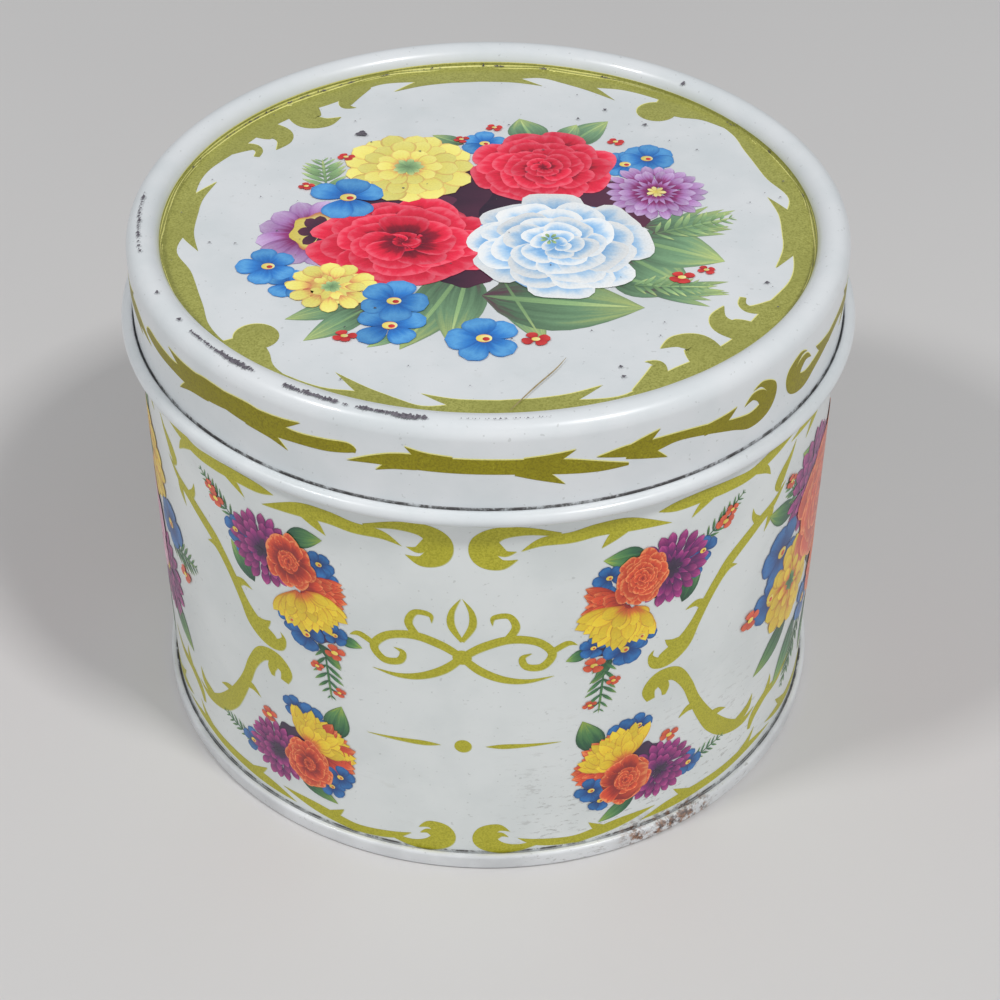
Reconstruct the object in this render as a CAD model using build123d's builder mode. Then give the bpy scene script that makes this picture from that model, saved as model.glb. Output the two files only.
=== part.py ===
"""Round tinplate body-powder tin with a lift-off lid, a sifting membrane and a powder puff.

Frame: origin on the table under the tin's centre, +Z up along the tin's axis, front of the tin
towards -Y, side seam at the back (+Y). Every profile is drawn as radius and height in the XZ plane
and turned about Z.
"""

import os

from build123d import *

# --- driving dimensions, mm -------------------------------------------------------------------
body_r = 55.0  # outside of the body wall
tin_height = 88.1  # table to the crest of the lid's raised rim
sheet = 0.28  # tinplate thickness
slip = 0.10  # radial clearance of the lid's skirt on the body

# lid
panel_r = 50.5  # centre line of the rim's inner wall
panel_drop = 3.2  # crest of the rim down to the sunken panel
curl_z = 73.0  # height of the curl's centre at the skirt's lower edge
curl_r = 1.15  # outside radius of the curl
panel_fold = 0.6  # fold between panel and rim, on the centre line
curl_turn = 305  # degrees that the curl is rolled through

# body
hem_gap = 0.22  # inside the folded top edge
hem_length = 3.8  # folded layer, down the inside
lid_headroom = 2.3  # crest of the lid's rim down to the body's folded edge
lap_width = 5.0  # overlap of the side seam
solder_width = 0.4

# bottom double seam
hook_gap = 0.12  # between neighbouring layers of the seam
seam_height = 2.9
compound = 0.30  # section of the sealing ring above the body hook
countersink = 3.3  # seam's foot up to the middle of the end's sheet
stamped_rise = 0.6  # raised disc in the middle of the bottom end
stamped_r = 38.0

# sifting drum and powder
ring_r = 53.9  # outside of the paperboard collar
board = 0.8
paper = 0.25
drum_z = 60.0  # top of the collar
hem_drop = 6.0  # the membrane's glued edge
sift_hole_r = 1.6
sift_pitch = 9.0  # between the rings of holes
sift_rings = 3
powder_edge_z = 54.0
powder_crown = 2.0

# puff
puff_r = 36.5
pile_height = 9.7
back_r = 31.4
dome_rise = 4.6
satin = 0.4
piping_r = 0.9
ribbon_width = 16.0
ribbon_thick = 0.4
ribbon_end_x = 26.0
ribbon_rise = 7.4  # finger room under the strap's middle
stitch_length = 5.0
stitch_size = 0.5

# --- derived dimensions -----------------------------------------------------------------------
half = sheet / 2
wall_mid = body_r - half
wall_in = body_r - sheet
skirt_mid = body_r + slip + half
rim_r = (skirt_mid - panel_r) / 2  # centre line of the half-round rim
rim_centre = panel_r + rim_r
rim_z = tin_height - half - rim_r
panel_z = tin_height - panel_drop - half
body_top = tin_height - lid_headroom
seam_pitch = sheet + hook_gap
end_top = countersink + half
puff_z = drum_z + paper + 0.05
dome_z = puff_z + pile_height
pile_round = pile_height / 2
pile_flat_r = puff_r - pile_round
ribbon_z = dome_z + dome_rise - 1.2

os.makedirs("parts", exist_ok=True)


# --- lid ----------------------------------------------------------------------------------------
# One drawn cap: flat sunken panel, half-round raised rim, skirt, and an outward curl at its edge.
with BuildPart() as lid_shell:
    with BuildSketch(Plane.XZ):
        with BuildLine():
            FilletPolyline((0, panel_z), (panel_r, panel_z), (panel_r, rim_z), radius=panel_fold)
            ThreePointArc((panel_r, rim_z), (rim_centre, rim_z + rim_r), (skirt_mid, rim_z))
            Line((skirt_mid, rim_z), (skirt_mid, curl_z))
            JernArc((skirt_mid, curl_z), (0, -1), curl_r - half, curl_turn)
        trace(line_width=sheet)
        # trim what the pen leaves beyond the axis
        with Locations((-sheet, panel_z)):
            Rectangle(2 * sheet, 4 * sheet, mode=Mode.SUBTRACT)
    revolve(axis=Axis.Z)


# --- body wall ------------------------------------------------------------------------------------
# A rolled sheet with a folded top edge, a lapped side seam at the back, and a flange that is
# turned out and up as the body hook of the bottom seam.
hem_mid = wall_mid - sheet - hem_gap
hook_mid = wall_mid + 2 * seam_pitch
flange_z = sheet + 0.06 + half
with BuildPart() as body_wall:
    with BuildSketch(Plane.XZ):
        with BuildLine():
            FilletPolyline(
                (hem_mid, body_top - hem_length),
                (hem_mid, body_top - half),
                (wall_mid, body_top - half),
                (wall_mid, flange_z),
                (hook_mid, flange_z),
                (hook_mid, seam_height - 2.5 * sheet),
                radius=[0.24, 0.24, 0.3, 0.3],
            )
        trace(line_width=sheet)
    revolve(axis=Axis.Z)
    # the under layer of the lapped side seam, inside the wall
    with BuildSketch(Plane.XY.offset(end_top + 0.5)):
        Circle(wall_in + sheet / 4)
        Circle(wall_in - sheet, mode=Mode.SUBTRACT)
        with Locations((lap_width / 2, wall_in)):
            Rectangle(lap_width, 6, mode=Mode.INTERSECT)
    extrude(amount=body_top - hem_length - end_top - 1.0)
    # the edge of the upper layer, a fine step down the outside
    with BuildSketch(Plane.XY.offset(seam_height + 0.2)):
        with Locations((0, body_r)):
            Rectangle(0.25, sheet / 2)
    extrude(amount=body_top - seam_height - 1.0, mode=Mode.SUBTRACT)


# --- solder of the side seam -------------------------------------------------------------------
with BuildPart() as side_seam_solder:
    with BuildSketch(Plane.XY.offset(end_top + 0.5)):
        Circle(wall_in)
        Circle(wall_in - 0.7 * sheet, mode=Mode.SUBTRACT)
        with Locations((-solder_width / 2, wall_in)):
            Rectangle(solder_width, 6, mode=Mode.INTERSECT)
    extrude(amount=body_top - hem_length - end_top - 1.0)


# --- bottom end --------------------------------------------------------------------------------
# A stamped disc: raised centre, countersunk panel, chuck wall inside the body, seaming panel
# under it, seaming wall outside it, and the end hook turned down behind the body hook.
chuck_mid = wall_in - half
seaming_mid = wall_mid + 3 * seam_pitch
end_hook_mid = wall_mid + seam_pitch
with BuildPart() as bottom_end:
    with BuildSketch(Plane.XZ):
        with BuildLine():
            FilletPolyline(
                (0, countersink + stamped_rise),
                (stamped_r, countersink + stamped_rise),
                (stamped_r + 2, countersink),
                (chuck_mid, countersink),
                (chuck_mid, half),
                (seaming_mid, half),
                (seaming_mid, seam_height - half),
                (end_hook_mid, seam_height - half),
                (end_hook_mid, 3.4 * sheet),
                radius=[1.0, 1.0, 0.6, 0.45, 0.45, 0.38, 0.38],
            )
        trace(line_width=sheet)
        # trim what the pen leaves beyond the axis
        with Locations((-sheet, countersink + stamped_rise)):
            Rectangle(2 * sheet, 4 * sheet, mode=Mode.SUBTRACT)
    revolve(axis=Axis.Z)


# --- sealing compound above the body hook ----------------------------------------------------
with BuildPart() as bottom_seam_compound:
    with BuildSketch(Plane.XZ):
        with Locations((hook_mid, seam_height - 1.75 * sheet)):
            Rectangle(compound, compound)
    revolve(axis=Axis.Z)


# --- paperboard collar that carries the membrane ---------------------------------------------
with BuildPart() as drum_ring:
    with BuildSketch(Plane.XY.offset(end_top)):
        Circle(ring_r)
        Circle(ring_r - board, mode=Mode.SUBTRACT)
    extrude(amount=drum_z - end_top)


# --- perforated sifting membrane, its edge turned down over the collar -----------------------
with BuildPart() as drum_membrane:
    with BuildSketch(Plane.XY.offset(drum_z - hem_drop)):
        Circle(ring_r + paper)
    extrude(amount=hem_drop + paper)
    with BuildSketch(Plane.XY.offset(drum_z - hem_drop)):
        Circle(ring_r)
    extrude(amount=hem_drop, mode=Mode.SUBTRACT)
    with BuildSketch(Plane.XY.offset(drum_z)):
        Circle(sift_hole_r)
        for ring in range(1, sift_rings):
            with PolarLocations(ring * sift_pitch, 6 * ring):
                Circle(sift_hole_r)
    extrude(amount=paper, mode=Mode.SUBTRACT)


# --- powder ------------------------------------------------------------------------------------
powder_r = ring_r - board
powder_floor = end_top + stamped_rise
with BuildPart() as powder_fill:
    with BuildSketch(Plane.XZ):
        with BuildLine():
            Polyline((0, powder_floor), (powder_r, powder_floor), (powder_r, powder_edge_z))
            RadiusArc(
                (powder_r, powder_edge_z),
                (0, powder_edge_z + powder_crown),
                -(powder_r**2 + powder_crown**2) / (2 * powder_crown),
            )
            Line((0, powder_edge_z + powder_crown), (0, powder_floor))
        make_face()
    revolve(axis=Axis.Z)


# --- puff --------------------------------------------------------------------------------------
# plush face, turned down on the membrane
with BuildPart() as puff_pile:
    with BuildSketch(Plane.XZ):
        with BuildLine():
            Polyline((0, dome_z), (0, puff_z), (pile_flat_r, puff_z))
            JernArc((pile_flat_r, puff_z), (1, 0), pile_round, 180)
            Line((pile_flat_r, dome_z), (0, dome_z))
        make_face()
    revolve(axis=Axis.Z)

# soft core, a low dome on the plush disc
core_r = back_r - satin
core_rise = dome_rise - satin
with BuildPart() as puff_filling:
    with BuildSketch(Plane.XZ):
        with BuildLine():
            Line((0, dome_z), (core_r, dome_z))
            RadiusArc(
                (core_r, dome_z),
                (0, dome_z + core_rise),
                -(core_r**2 + core_rise**2) / (2 * core_rise),
            )
            Line((0, dome_z + core_rise), (0, dome_z))
        make_face()
    revolve(axis=Axis.Z)

# satin back over the core
with BuildPart() as puff_backing:
    with BuildSketch(Plane.XZ):
        with BuildLine():
            Line((core_r, dome_z), (back_r, dome_z))
            RadiusArc(
                (back_r, dome_z),
                (0, dome_z + dome_rise),
                -(back_r**2 + dome_rise**2) / (2 * dome_rise),
            )
            Line((0, dome_z + dome_rise), (0, dome_z + core_rise))
            RadiusArc(
                (0, dome_z + core_rise),
                (core_r, dome_z),
                (core_r**2 + core_rise**2) / (2 * core_rise),
            )
        make_face()
    revolve(axis=Axis.Z)

# corded edge between back and plush
with BuildPart() as puff_piping:
    with BuildSketch(Plane.XZ):
        with Locations((back_r + piping_r, dome_z + piping_r)):
            Circle(piping_r)
    revolve(axis=Axis.Z)

# ribbon strap for the fingers, bowed up over the back between two sewn tabs
tab_length = back_r - ribbon_end_x
with BuildPart() as puff_ribbon:
    with BuildSketch(Plane.XZ.offset(-ribbon_width / 2)):
        with BuildLine():
            Line((-back_r, ribbon_z), (-ribbon_end_x, ribbon_z))
            Spline(
                (-ribbon_end_x, ribbon_z),
                (0, ribbon_z + ribbon_rise),
                (ribbon_end_x, ribbon_z),
                tangents=[(1, 0.1), (1, -0.1)],
            )
            Line((ribbon_end_x, ribbon_z), (back_r, ribbon_z))
        trace(line_width=ribbon_thick)
    extrude(amount=ribbon_width)

# four bar stitches that hold the ribbon's tabs
with BuildPart() as puff_stitches:
    with BuildSketch(Plane.XY.offset(ribbon_z + ribbon_thick / 2)):
        for side in (-1, 1):
            for row in (-1, 1):
                with Locations((side * (back_r - tab_length / 2), row * ribbon_width / 4)):
                    RectangleRounded(stitch_size * 2, stitch_length, stitch_size * 0.9)
    extrude(amount=stitch_size)


# --- labels and files ----------------------------------------------------------------------------
lid_shell.part.label = "lid_shell"
body_wall.part.label = "body_wall"
side_seam_solder.part.label = "side_seam_solder"
bottom_end.part.label = "bottom_end"
bottom_seam_compound.part.label = "bottom_seam_compound"
drum_ring.part.label = "drum_ring"
drum_membrane.part.label = "drum_membrane"
powder_fill.part.label = "powder_fill"
puff_pile.part.label = "puff_pile"
puff_filling.part.label = "puff_filling"
puff_backing.part.label = "puff_backing"
puff_piping.part.label = "puff_piping"
puff_ribbon.part.label = "puff_ribbon"
puff_stitches.part.label = "puff_stitches"

export_step(lid_shell.part, "parts/lid_shell.step")
export_step(body_wall.part, "parts/body_wall.step")
export_step(side_seam_solder.part, "parts/side_seam_solder.step")
export_step(bottom_end.part, "parts/bottom_end.step")
export_step(bottom_seam_compound.part, "parts/bottom_seam_compound.step")
export_step(drum_ring.part, "parts/drum_ring.step")
export_step(drum_membrane.part, "parts/drum_membrane.step")
export_step(powder_fill.part, "parts/powder_fill.step")
export_step(puff_pile.part, "parts/puff_pile.step")
export_step(puff_filling.part, "parts/puff_filling.step")
export_step(puff_backing.part, "parts/puff_backing.step")
export_step(puff_piping.part, "parts/puff_piping.step")
export_step(puff_ribbon.part, "parts/puff_ribbon.step")
export_step(puff_stitches.part, "parts/puff_stitches.step")
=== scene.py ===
"""Visual model of a round printed powder tin with a lift-off lid, a sifting drum and a puff.

The tin stands on the origin, +Z up, its front towards -Y. Sizes inside the classes are in
millimetres; every mesh is written in metres. The print is made of thin films of ink, each one a
mesh that follows the sheet it is printed on.
"""

import logging
import math
import random
from dataclasses import dataclass
from enum import Enum
from functools import reduce
from itertools import product
from typing import Any, Callable, ClassVar, Protocol, Sequence

import bmesh
import bpy
from mathutils import Matrix, Vector, noise


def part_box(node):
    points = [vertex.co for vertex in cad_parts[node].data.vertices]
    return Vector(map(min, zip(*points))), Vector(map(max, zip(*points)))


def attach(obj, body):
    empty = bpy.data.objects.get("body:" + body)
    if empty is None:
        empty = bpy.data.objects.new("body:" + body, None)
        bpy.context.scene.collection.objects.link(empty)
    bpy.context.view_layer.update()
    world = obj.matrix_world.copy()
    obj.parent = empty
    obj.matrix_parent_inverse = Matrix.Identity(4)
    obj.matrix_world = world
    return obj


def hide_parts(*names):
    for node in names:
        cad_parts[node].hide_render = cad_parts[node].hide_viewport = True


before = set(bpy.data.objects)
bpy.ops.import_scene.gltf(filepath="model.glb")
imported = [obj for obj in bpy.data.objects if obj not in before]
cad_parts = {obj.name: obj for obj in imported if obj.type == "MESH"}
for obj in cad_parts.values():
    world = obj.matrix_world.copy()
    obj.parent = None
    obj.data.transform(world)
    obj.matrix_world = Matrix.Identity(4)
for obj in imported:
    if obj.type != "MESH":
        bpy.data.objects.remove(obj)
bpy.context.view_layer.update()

LOG = logging.getLogger("powder_tin")
MM = 0.001
VIEW_TURN = 4.0  # degrees from the print's centre line to the camera, towards +X
SHEET = 0.28  # thickness of the tinplate
SPIN_STEPS = 288  # steps of a full turn on the large round pieces

Rgb = tuple[int, int, int]
Point = tuple[float, float]
Grid = tuple[int, int]
Shape = Callable[[float, float], Point]  # u along and v across a patch, 0 to 1, to a design point
Socket = bpy.types.NodeSocket


# --- materials ---


def tint(rgb: Rgb) -> tuple[float, float, float, float]:
    """Turns a display colour, 0 to 255, into linear light.

    Args:
        rgb: Red, green and blue.

    Returns:
        Linear red, green, blue, and an alpha of 1.
    """

    def linear(level: int) -> float:
        """Turns one level into linear light."""
        share = level / 255
        return share / 12.92 if share <= 0.04045 else ((share + 0.055) / 1.055) ** 2.4

    return (linear(rgb[0]), linear(rgb[1]), linear(rgb[2]), 1.0)


class Nodes:
    """Adds shader nodes to one material and joins them up."""

    def __init__(self, name: str) -> None:
        """Starts a material with a principled shader.

        Args:
            name: The material's name.
        """
        self.material = bpy.data.materials.new(name)
        self.material.use_nodes = True
        self.tree = self.material.node_tree
        self.shader = self.tree.nodes["Principled BSDF"]
        self.object_place = self.add("ShaderNodeTexCoord").outputs["Object"]

    def add(self, kind: str, **settings: Any) -> bpy.types.Node:
        """Adds a node.

        Args:
            kind: Blender's type name of the node.
            settings: Properties of the node to set.

        Returns:
            The new node.
        """
        node = self.tree.nodes.new(kind)
        for key, value in settings.items():
            setattr(node, key, value)
        return node

    def feed(self, socket: Socket, value: Any) -> None:
        """Links a socket to another, or gives it a constant.

        Args:
            socket: The input to feed.
            value: A socket or a constant.
        """
        if isinstance(value, Socket):
            self.tree.links.new(value, socket)
        else:
            socket.default_value = value

    def math(self, operation: str, *values: Any, clamp: bool = False) -> Socket:
        """Adds a Math node.

        Args:
            operation: Name of the operation.
            values: One to three numbers or sockets.
            clamp: Whether the result stays between 0 and 1.

        Returns:
            The result's socket.
        """
        node = self.add("ShaderNodeMath", operation=operation, use_clamp=clamp)
        for socket, value in zip(node.inputs, values):
            self.feed(socket, value)
        return node.outputs[0]

    def times(self, *values: Any) -> Socket:
        """Multiplies numbers and sockets together, from left to right."""
        return reduce(lambda total, value: self.math("MULTIPLY", total, value), values)

    def step(self, value: Socket, low: float, high: float) -> Socket:
        """Rises smoothly from 0 to 1, or falls where high is the smaller.

        Args:
            value: What is looked at.
            low: Where the result is 0.
            high: Where the result is 1.

        Returns:
            The result's socket.
        """
        node = self.add("ShaderNodeMapRange", interpolation_type="SMOOTHSTEP")
        for key, number in (("Value", value), ("From Min", low), ("From Max", high)):
            self.feed(node.inputs[key], number)
        return node.outputs["Result"]

    def window(self, value: Socket, low: float, high: float, soft: float) -> Socket:
        """Is 1 between low and high and fades to 0 over soft on both sides."""
        return self.times(self.step(value, low - soft, low), self.step(value, high + soft, high))

    def mix(self, factor: Any, first: Any, second: Any) -> Socket:
        """Mixes two colours.

        Args:
            factor: 0 gives the first colour and 1 the second.
            first: Colour or socket.
            second: Colour or socket.

        Returns:
            The mixed colour's socket.
        """
        node = self.add("ShaderNodeMix", data_type="RGBA")
        for index, value in ((0, factor), (6, first), (7, second)):
            self.feed(node.inputs[index], value)
        return node.outputs[2]

    def noise(self, place: Socket, size: float, detail: float = 3.0, rough: float = 0.55) -> Socket:
        """Adds noise.

        Args:
            place: Coordinates that it is worked out from.
            size: About how wide its blotches are, mm.
            detail: How many finer layers it has.
            rough: How strong the finer layers are.

        Returns:
            The socket of its value, 0 to 1.
        """
        node = self.add("ShaderNodeTexNoise")
        self.feed(node.inputs["Vector"], place)
        node.inputs["Scale"].default_value = 1 / (size * MM)
        node.inputs["Detail"].default_value = detail
        node.inputs["Roughness"].default_value = rough
        return node.outputs["Fac"]

    def ramp(self, factor: Socket, stops: Sequence[tuple[float, Rgb]]) -> Socket:
        """Runs through colours.

        Args:
            factor: Where on the ramp, 0 to 1.
            stops: Each place on the ramp with its display colour, in order.

        Returns:
            The colour's socket.
        """
        node = self.add("ShaderNodeValToRGB")
        elements = node.color_ramp.elements
        for place, _ in stops[1:-1]:
            elements.new(place)
        for element, (place, rgb) in zip(elements, stops):
            element.position = place
            element.color = tint(rgb)
        self.feed(node.inputs[0], factor)
        return node.outputs[0]

    def stretch(self, place: Socket, scale: Sequence[float]) -> Socket:
        """Scales a pattern's coordinates.

        Args:
            place: The coordinates.
            scale: Factors along X, Y and Z.

        Returns:
            The scaled coordinates' socket.
        """
        node = self.add("ShaderNodeMapping")
        self.feed(node.inputs["Vector"], place)
        node.inputs["Scale"].default_value = scale
        return node.outputs[0]

    def split(self, place: Socket) -> tuple[Socket, Socket, Socket]:
        """Splits coordinates into X, Y and Z.

        Args:
            place: The coordinates.

        Returns:
            The three sockets.
        """
        node = self.add("ShaderNodeSeparateXYZ")
        self.feed(node.inputs[0], place)
        return node.outputs[0], node.outputs[1], node.outputs[2]

    def join(self, x: Any, y: Any, z: Any) -> Socket:
        """Joins three values into one vector.

        Args:
            x: Number or socket for X.
            y: The same for Y.
            z: The same for Z.

        Returns:
            The vector's socket.
        """
        node = self.add("ShaderNodeCombineXYZ")
        for socket, value in zip(node.inputs, (x, y, z)):
            self.feed(socket, value)
        return node.outputs[0]

    def polar(self) -> tuple[Socket, Socket, Socket]:
        """Reads a point's place about the tin's axis.

        Returns:
            Radius in metres, angle in degrees from +X, and height in metres.
        """
        x, y, z = self.split(self.object_place)
        square = self.math("ADD", self.math("POWER", x, 2), self.math("POWER", y, 2))
        return self.math("SQRT", square), self.math("DEGREES", self.math("ARCTAN2", y, x)), z

    def bump(self, height: Socket, depth: float, strength: float = 1.0) -> None:
        """Raises the surface.

        Args:
            height: Where it is raised, 0 to 1.
            depth: By how much, mm.
            strength: How strongly that shows, 0 to 1.
        """
        node = self.add("ShaderNodeBump")
        node.inputs["Strength"].default_value = strength
        node.inputs["Distance"].default_value = depth * MM
        self.feed(node.inputs["Height"], height)
        self.feed(self.shader.inputs["Normal"], node.outputs[0])

    def dress(self, **sockets: Any) -> bpy.types.Material:
        """Feeds the shader's sockets and gives the material.

        Args:
            sockets: Values by socket name, with underscores for spaces.

        Returns:
            The finished material.
        """
        for key, value in sockets.items():
            self.feed(self.shader.inputs[key.replace("_", " ")], value)
        return self.material


class Finish(Protocol):
    """A finish that a piece can wear."""

    def build(self) -> bpy.types.Material:
        """Makes the material.

        Returns:
            The material.
        """


@dataclass(frozen=True)
class Enamel:
    """White stoved enamel on tinplate, slightly mottled, scuffed and soiled, with a dark crevice line that is
    painted shade and dirt.

    Attributes:
        name: The material's name.
        white: Colour of the clean enamel.
        shade: Colour of its blotches.
        crevice_band: Inner and outer radius, lower and upper height of the dark crevice line, painted shade and
            dirt, mm.
        rust_angle: Middle of a rusty stretch of the foot, degrees from +X, or None.
        soil: How much handling has soiled the surface, 0 to 1.
    """

    name: str
    white: Rgb
    shade: Rgb
    crevice_band: tuple[float, float, float, float]
    rust_angle: float | None = None
    soil: float = 0.3

    SPECK: ClassVar[Rgb] = (150, 152, 148)
    SMEAR: ClassVar[Rgb] = (186, 186, 178)
    # colour of the crevice line: painted shade mixed with dirt
    CREVICE_SHADE_AND_DIRT: ClassVar[Rgb] = (58, 48, 46)
    RUST_LIGHT: ClassVar[Rgb] = (150, 104, 70)
    RUST_DARK: ClassVar[Rgb] = (66, 44, 38)
    SCUFF: ClassVar[Rgb] = (132, 128, 122)
    CREVICE_EDGE: ClassVar[float] = 0.12  # how softly the crevice's line of painted shade and dirt ends, mm
    RUST_REACH: ClassVar[float] = 6.5  # half the rusty stretch, degrees

    def build(self) -> bpy.types.Material:
        """Makes the material.

        Returns:
            The material.
        """
        nodes = Nodes(self.name)
        place = nodes.object_place
        blotch = nodes.noise(place, 14, 4)
        colour = nodes.mix(nodes.step(blotch, 0.35, 0.7), tint(self.white), tint(self.shade))
        speck = nodes.step(nodes.noise(place, 0.7, 1, 0.4), 0.72, 0.78)
        colour = nodes.mix(nodes.times(speck, 0.3), colour, tint(self.SPECK))
        smear = nodes.step(nodes.noise(nodes.stretch(place, (1, 1, 2.2)), 5, 5, 0.65), 0.6, 0.85)
        colour = nodes.mix(nodes.times(smear, self.soil), colour, tint(self.SMEAR))
        radius, angle, height = nodes.polar()
        # painted shade and dirt in the crevice
        colour = self.darken_crevice(nodes, colour, radius, height)
        if self.rust_angle is not None:
            colour = self.rusty(nodes, colour, angle, height)
        nodes.bump(nodes.noise(place, 1.6, 2), 0.02, 0.35)
        return nodes.dress(
            Base_Color=colour, Roughness=nodes.math("MULTIPLY_ADD", blotch, 0.14, 0.24),
            Specular_IOR_Level=0.5, Coat_Weight=0.25,
        )

    def darken_crevice(self, nodes: Nodes, colour: Socket, radius: Socket, height: Socket) -> Socket:
        """Darkens the crevice with a broken dark line, painted shade and dirt.

        Args:
            nodes: The material.
            colour: Its colour so far.
            radius: Distance from the tin's axis.
            height: Height above the table.

        Returns:
            The new colour.
        """
        inner, outer, low, high = (size * MM for size in self.crevice_band)
        soft = self.CREVICE_EDGE * MM
        # mask of the crevice, where painted shade and dirt darken the enamel
        line = nodes.times(nodes.window(height, low, high, soft), nodes.window(radius, inner, outer, soft))
        broken = nodes.step(nodes.noise(nodes.object_place, 2.4, 5, 0.75), 0.38, 0.56)
        return nodes.mix(nodes.times(line, broken, 0.85), colour, tint(self.CREVICE_SHADE_AND_DIRT))

    def rusty(self, nodes: Nodes, colour: Socket, angle: Socket, height: Socket) -> Socket:
        """Rusts a stretch of the foot and scuffs the wall above it.

        Args:
            nodes: The material.
            colour: Its colour so far.
            angle: Degrees from +X.
            height: Height above the table.

        Returns:
            The new colour.
        """
        place = nodes.object_place
        near = nodes.window(angle, self.rust_angle - self.RUST_REACH, self.rust_angle + self.RUST_REACH, 4)
        foot = nodes.math("POWER", nodes.step(height, 9 * MM, 1.5 * MM), 3)
        patch = nodes.times(near, nodes.step(nodes.noise(place, 1.5, 5, 0.7), 0.44, 0.6), foot)
        fine = nodes.step(nodes.noise(place, 0.9, 2), 0.4, 0.6)
        colour = nodes.mix(patch, colour, nodes.mix(fine, tint(self.RUST_LIGHT), tint(self.RUST_DARK)))
        worn = nodes.step(nodes.noise(nodes.stretch(place, (1, 1, 3)), 2.2, 5, 0.7), 0.56, 0.64)
        low = nodes.step(height, 40 * MM, 2 * MM)
        turned = nodes.window(angle, self.rust_angle - 20, self.rust_angle + 16, 12)
        return nodes.mix(nodes.times(worn, low, turned, 0.5), colour, tint(self.SCUFF))


@dataclass(frozen=True)
class Tinplate:
    """Bare tinplate with its faint crystal spangle and drawing lines."""

    name: str
    bright: Rgb = (196, 194, 186)
    dull: Rgb = (150, 147, 138)

    def build(self) -> bpy.types.Material:
        """Makes the material.

        Returns:
            The material.
        """
        nodes = Nodes(self.name)
        cells = nodes.add("ShaderNodeTexVoronoi")
        nodes.feed(cells.inputs["Vector"], nodes.object_place)
        cells.inputs["Scale"].default_value = 1 / (3.5 * MM)
        lines = nodes.noise(nodes.stretch(nodes.object_place, (1, 1, 14)), 6, 4)
        share = nodes.math("MULTIPLY_ADD", cells.outputs["Distance"], 0.4, nodes.times(lines, 0.6))
        colour = nodes.mix(share, tint(self.bright), tint(self.dull))
        nodes.bump(lines, 0.01, 0.3)
        rough = nodes.math("MULTIPLY_ADD", lines, 0.2, 0.24)
        return nodes.dress(Base_Color=colour, Metallic=1.0, Roughness=rough)


@dataclass(frozen=True)
class GoldInk:
    """Opaque gold printing ink with fine bronze grains."""

    name: str
    body: Rgb
    dark: Rgb
    light: Rgb

    def build(self) -> bpy.types.Material:
        """Makes the material.

        Returns:
            The material.
        """
        nodes = Nodes(self.name)
        place = nodes.object_place
        grain = nodes.noise(place, 0.32, 2, 0.7)
        drift = nodes.noise(place, 9, 3)
        colour = nodes.mix(nodes.step(grain, 0.36, 0.56), tint(self.dark), tint(self.body))
        colour = nodes.mix(nodes.step(grain, 0.62, 0.78), colour, tint(self.light))
        colour = nodes.mix(nodes.times(nodes.step(drift, 0.4, 0.7), 0.35), colour, tint(self.dark))
        nodes.bump(grain, 0.01, 0.3)
        rough = nodes.math("MULTIPLY_ADD", grain, 0.12, 0.34)
        return nodes.dress(Base_Color=colour, Roughness=rough, Specular_IOR_Level=0.3)


@dataclass(frozen=True)
class PetalInk:
    """Painterly ink that runs from a petal's root to its tip, with strokes along it.

    Attributes:
        name: The material's name.
        stops: Colours from root to tip.
        edge: Colour of the petal's outline.
        strokes: How many brush strokes lie side by side on a petal.
        rim: How strongly the outline shows, 0 to 1.
        wobble: How far the strokes push the colours along the petal.
    """

    name: str
    stops: tuple[tuple[float, Rgb], ...]
    edge: Rgb
    strokes: float = 7.0
    rim: float = 0.6
    wobble: float = 0.55

    def build(self) -> bpy.types.Material:
        """Makes the material.

        Returns:
            The material.
        """
        nodes = Nodes(self.name)
        along, across, _ = nodes.split(nodes.add("ShaderNodeUVMap", uv_map=Ink.UV_NAME).outputs[0])
        tone = nodes.add("ShaderNodeAttribute", attribute_name=Ink.TONE_NAME).outputs["Fac"]
        strip = nodes.join(nodes.times(along, 1.4), nodes.times(across, self.strokes), nodes.times(tone, 37.0))
        brush = nodes.noise(strip, 1 / MM, 3, 0.6)
        push = nodes.math("MULTIPLY_ADD", brush, self.wobble, -self.wobble / 2)
        colour = nodes.ramp(nodes.math("ADD", along, push, clamp=True), self.stops)
        side = nodes.math("ABSOLUTE", nodes.math("MULTIPLY_ADD", across, 2.0, -1.0))
        outline = nodes.times(nodes.step(side, 0.72, 1.0), self.rim)
        colour = nodes.mix(outline, colour, tint(self.edge))
        dots = nodes.noise(nodes.object_place, 0.35, 1)
        shift = nodes.add("ShaderNodeHueSaturation")
        value = nodes.math("ADD", nodes.times(tone, 0.28), nodes.times(dots, 0.24))
        nodes.feed(shift.inputs["Value"], nodes.math("ADD", value, 0.74))
        nodes.feed(shift.inputs["Color"], colour)
        rough = nodes.math("MULTIPLY_ADD", dots, 0.1, 0.28)
        return nodes.dress(Base_Color=shift.outputs[0], Roughness=rough, Coat_Weight=0.2)


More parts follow.
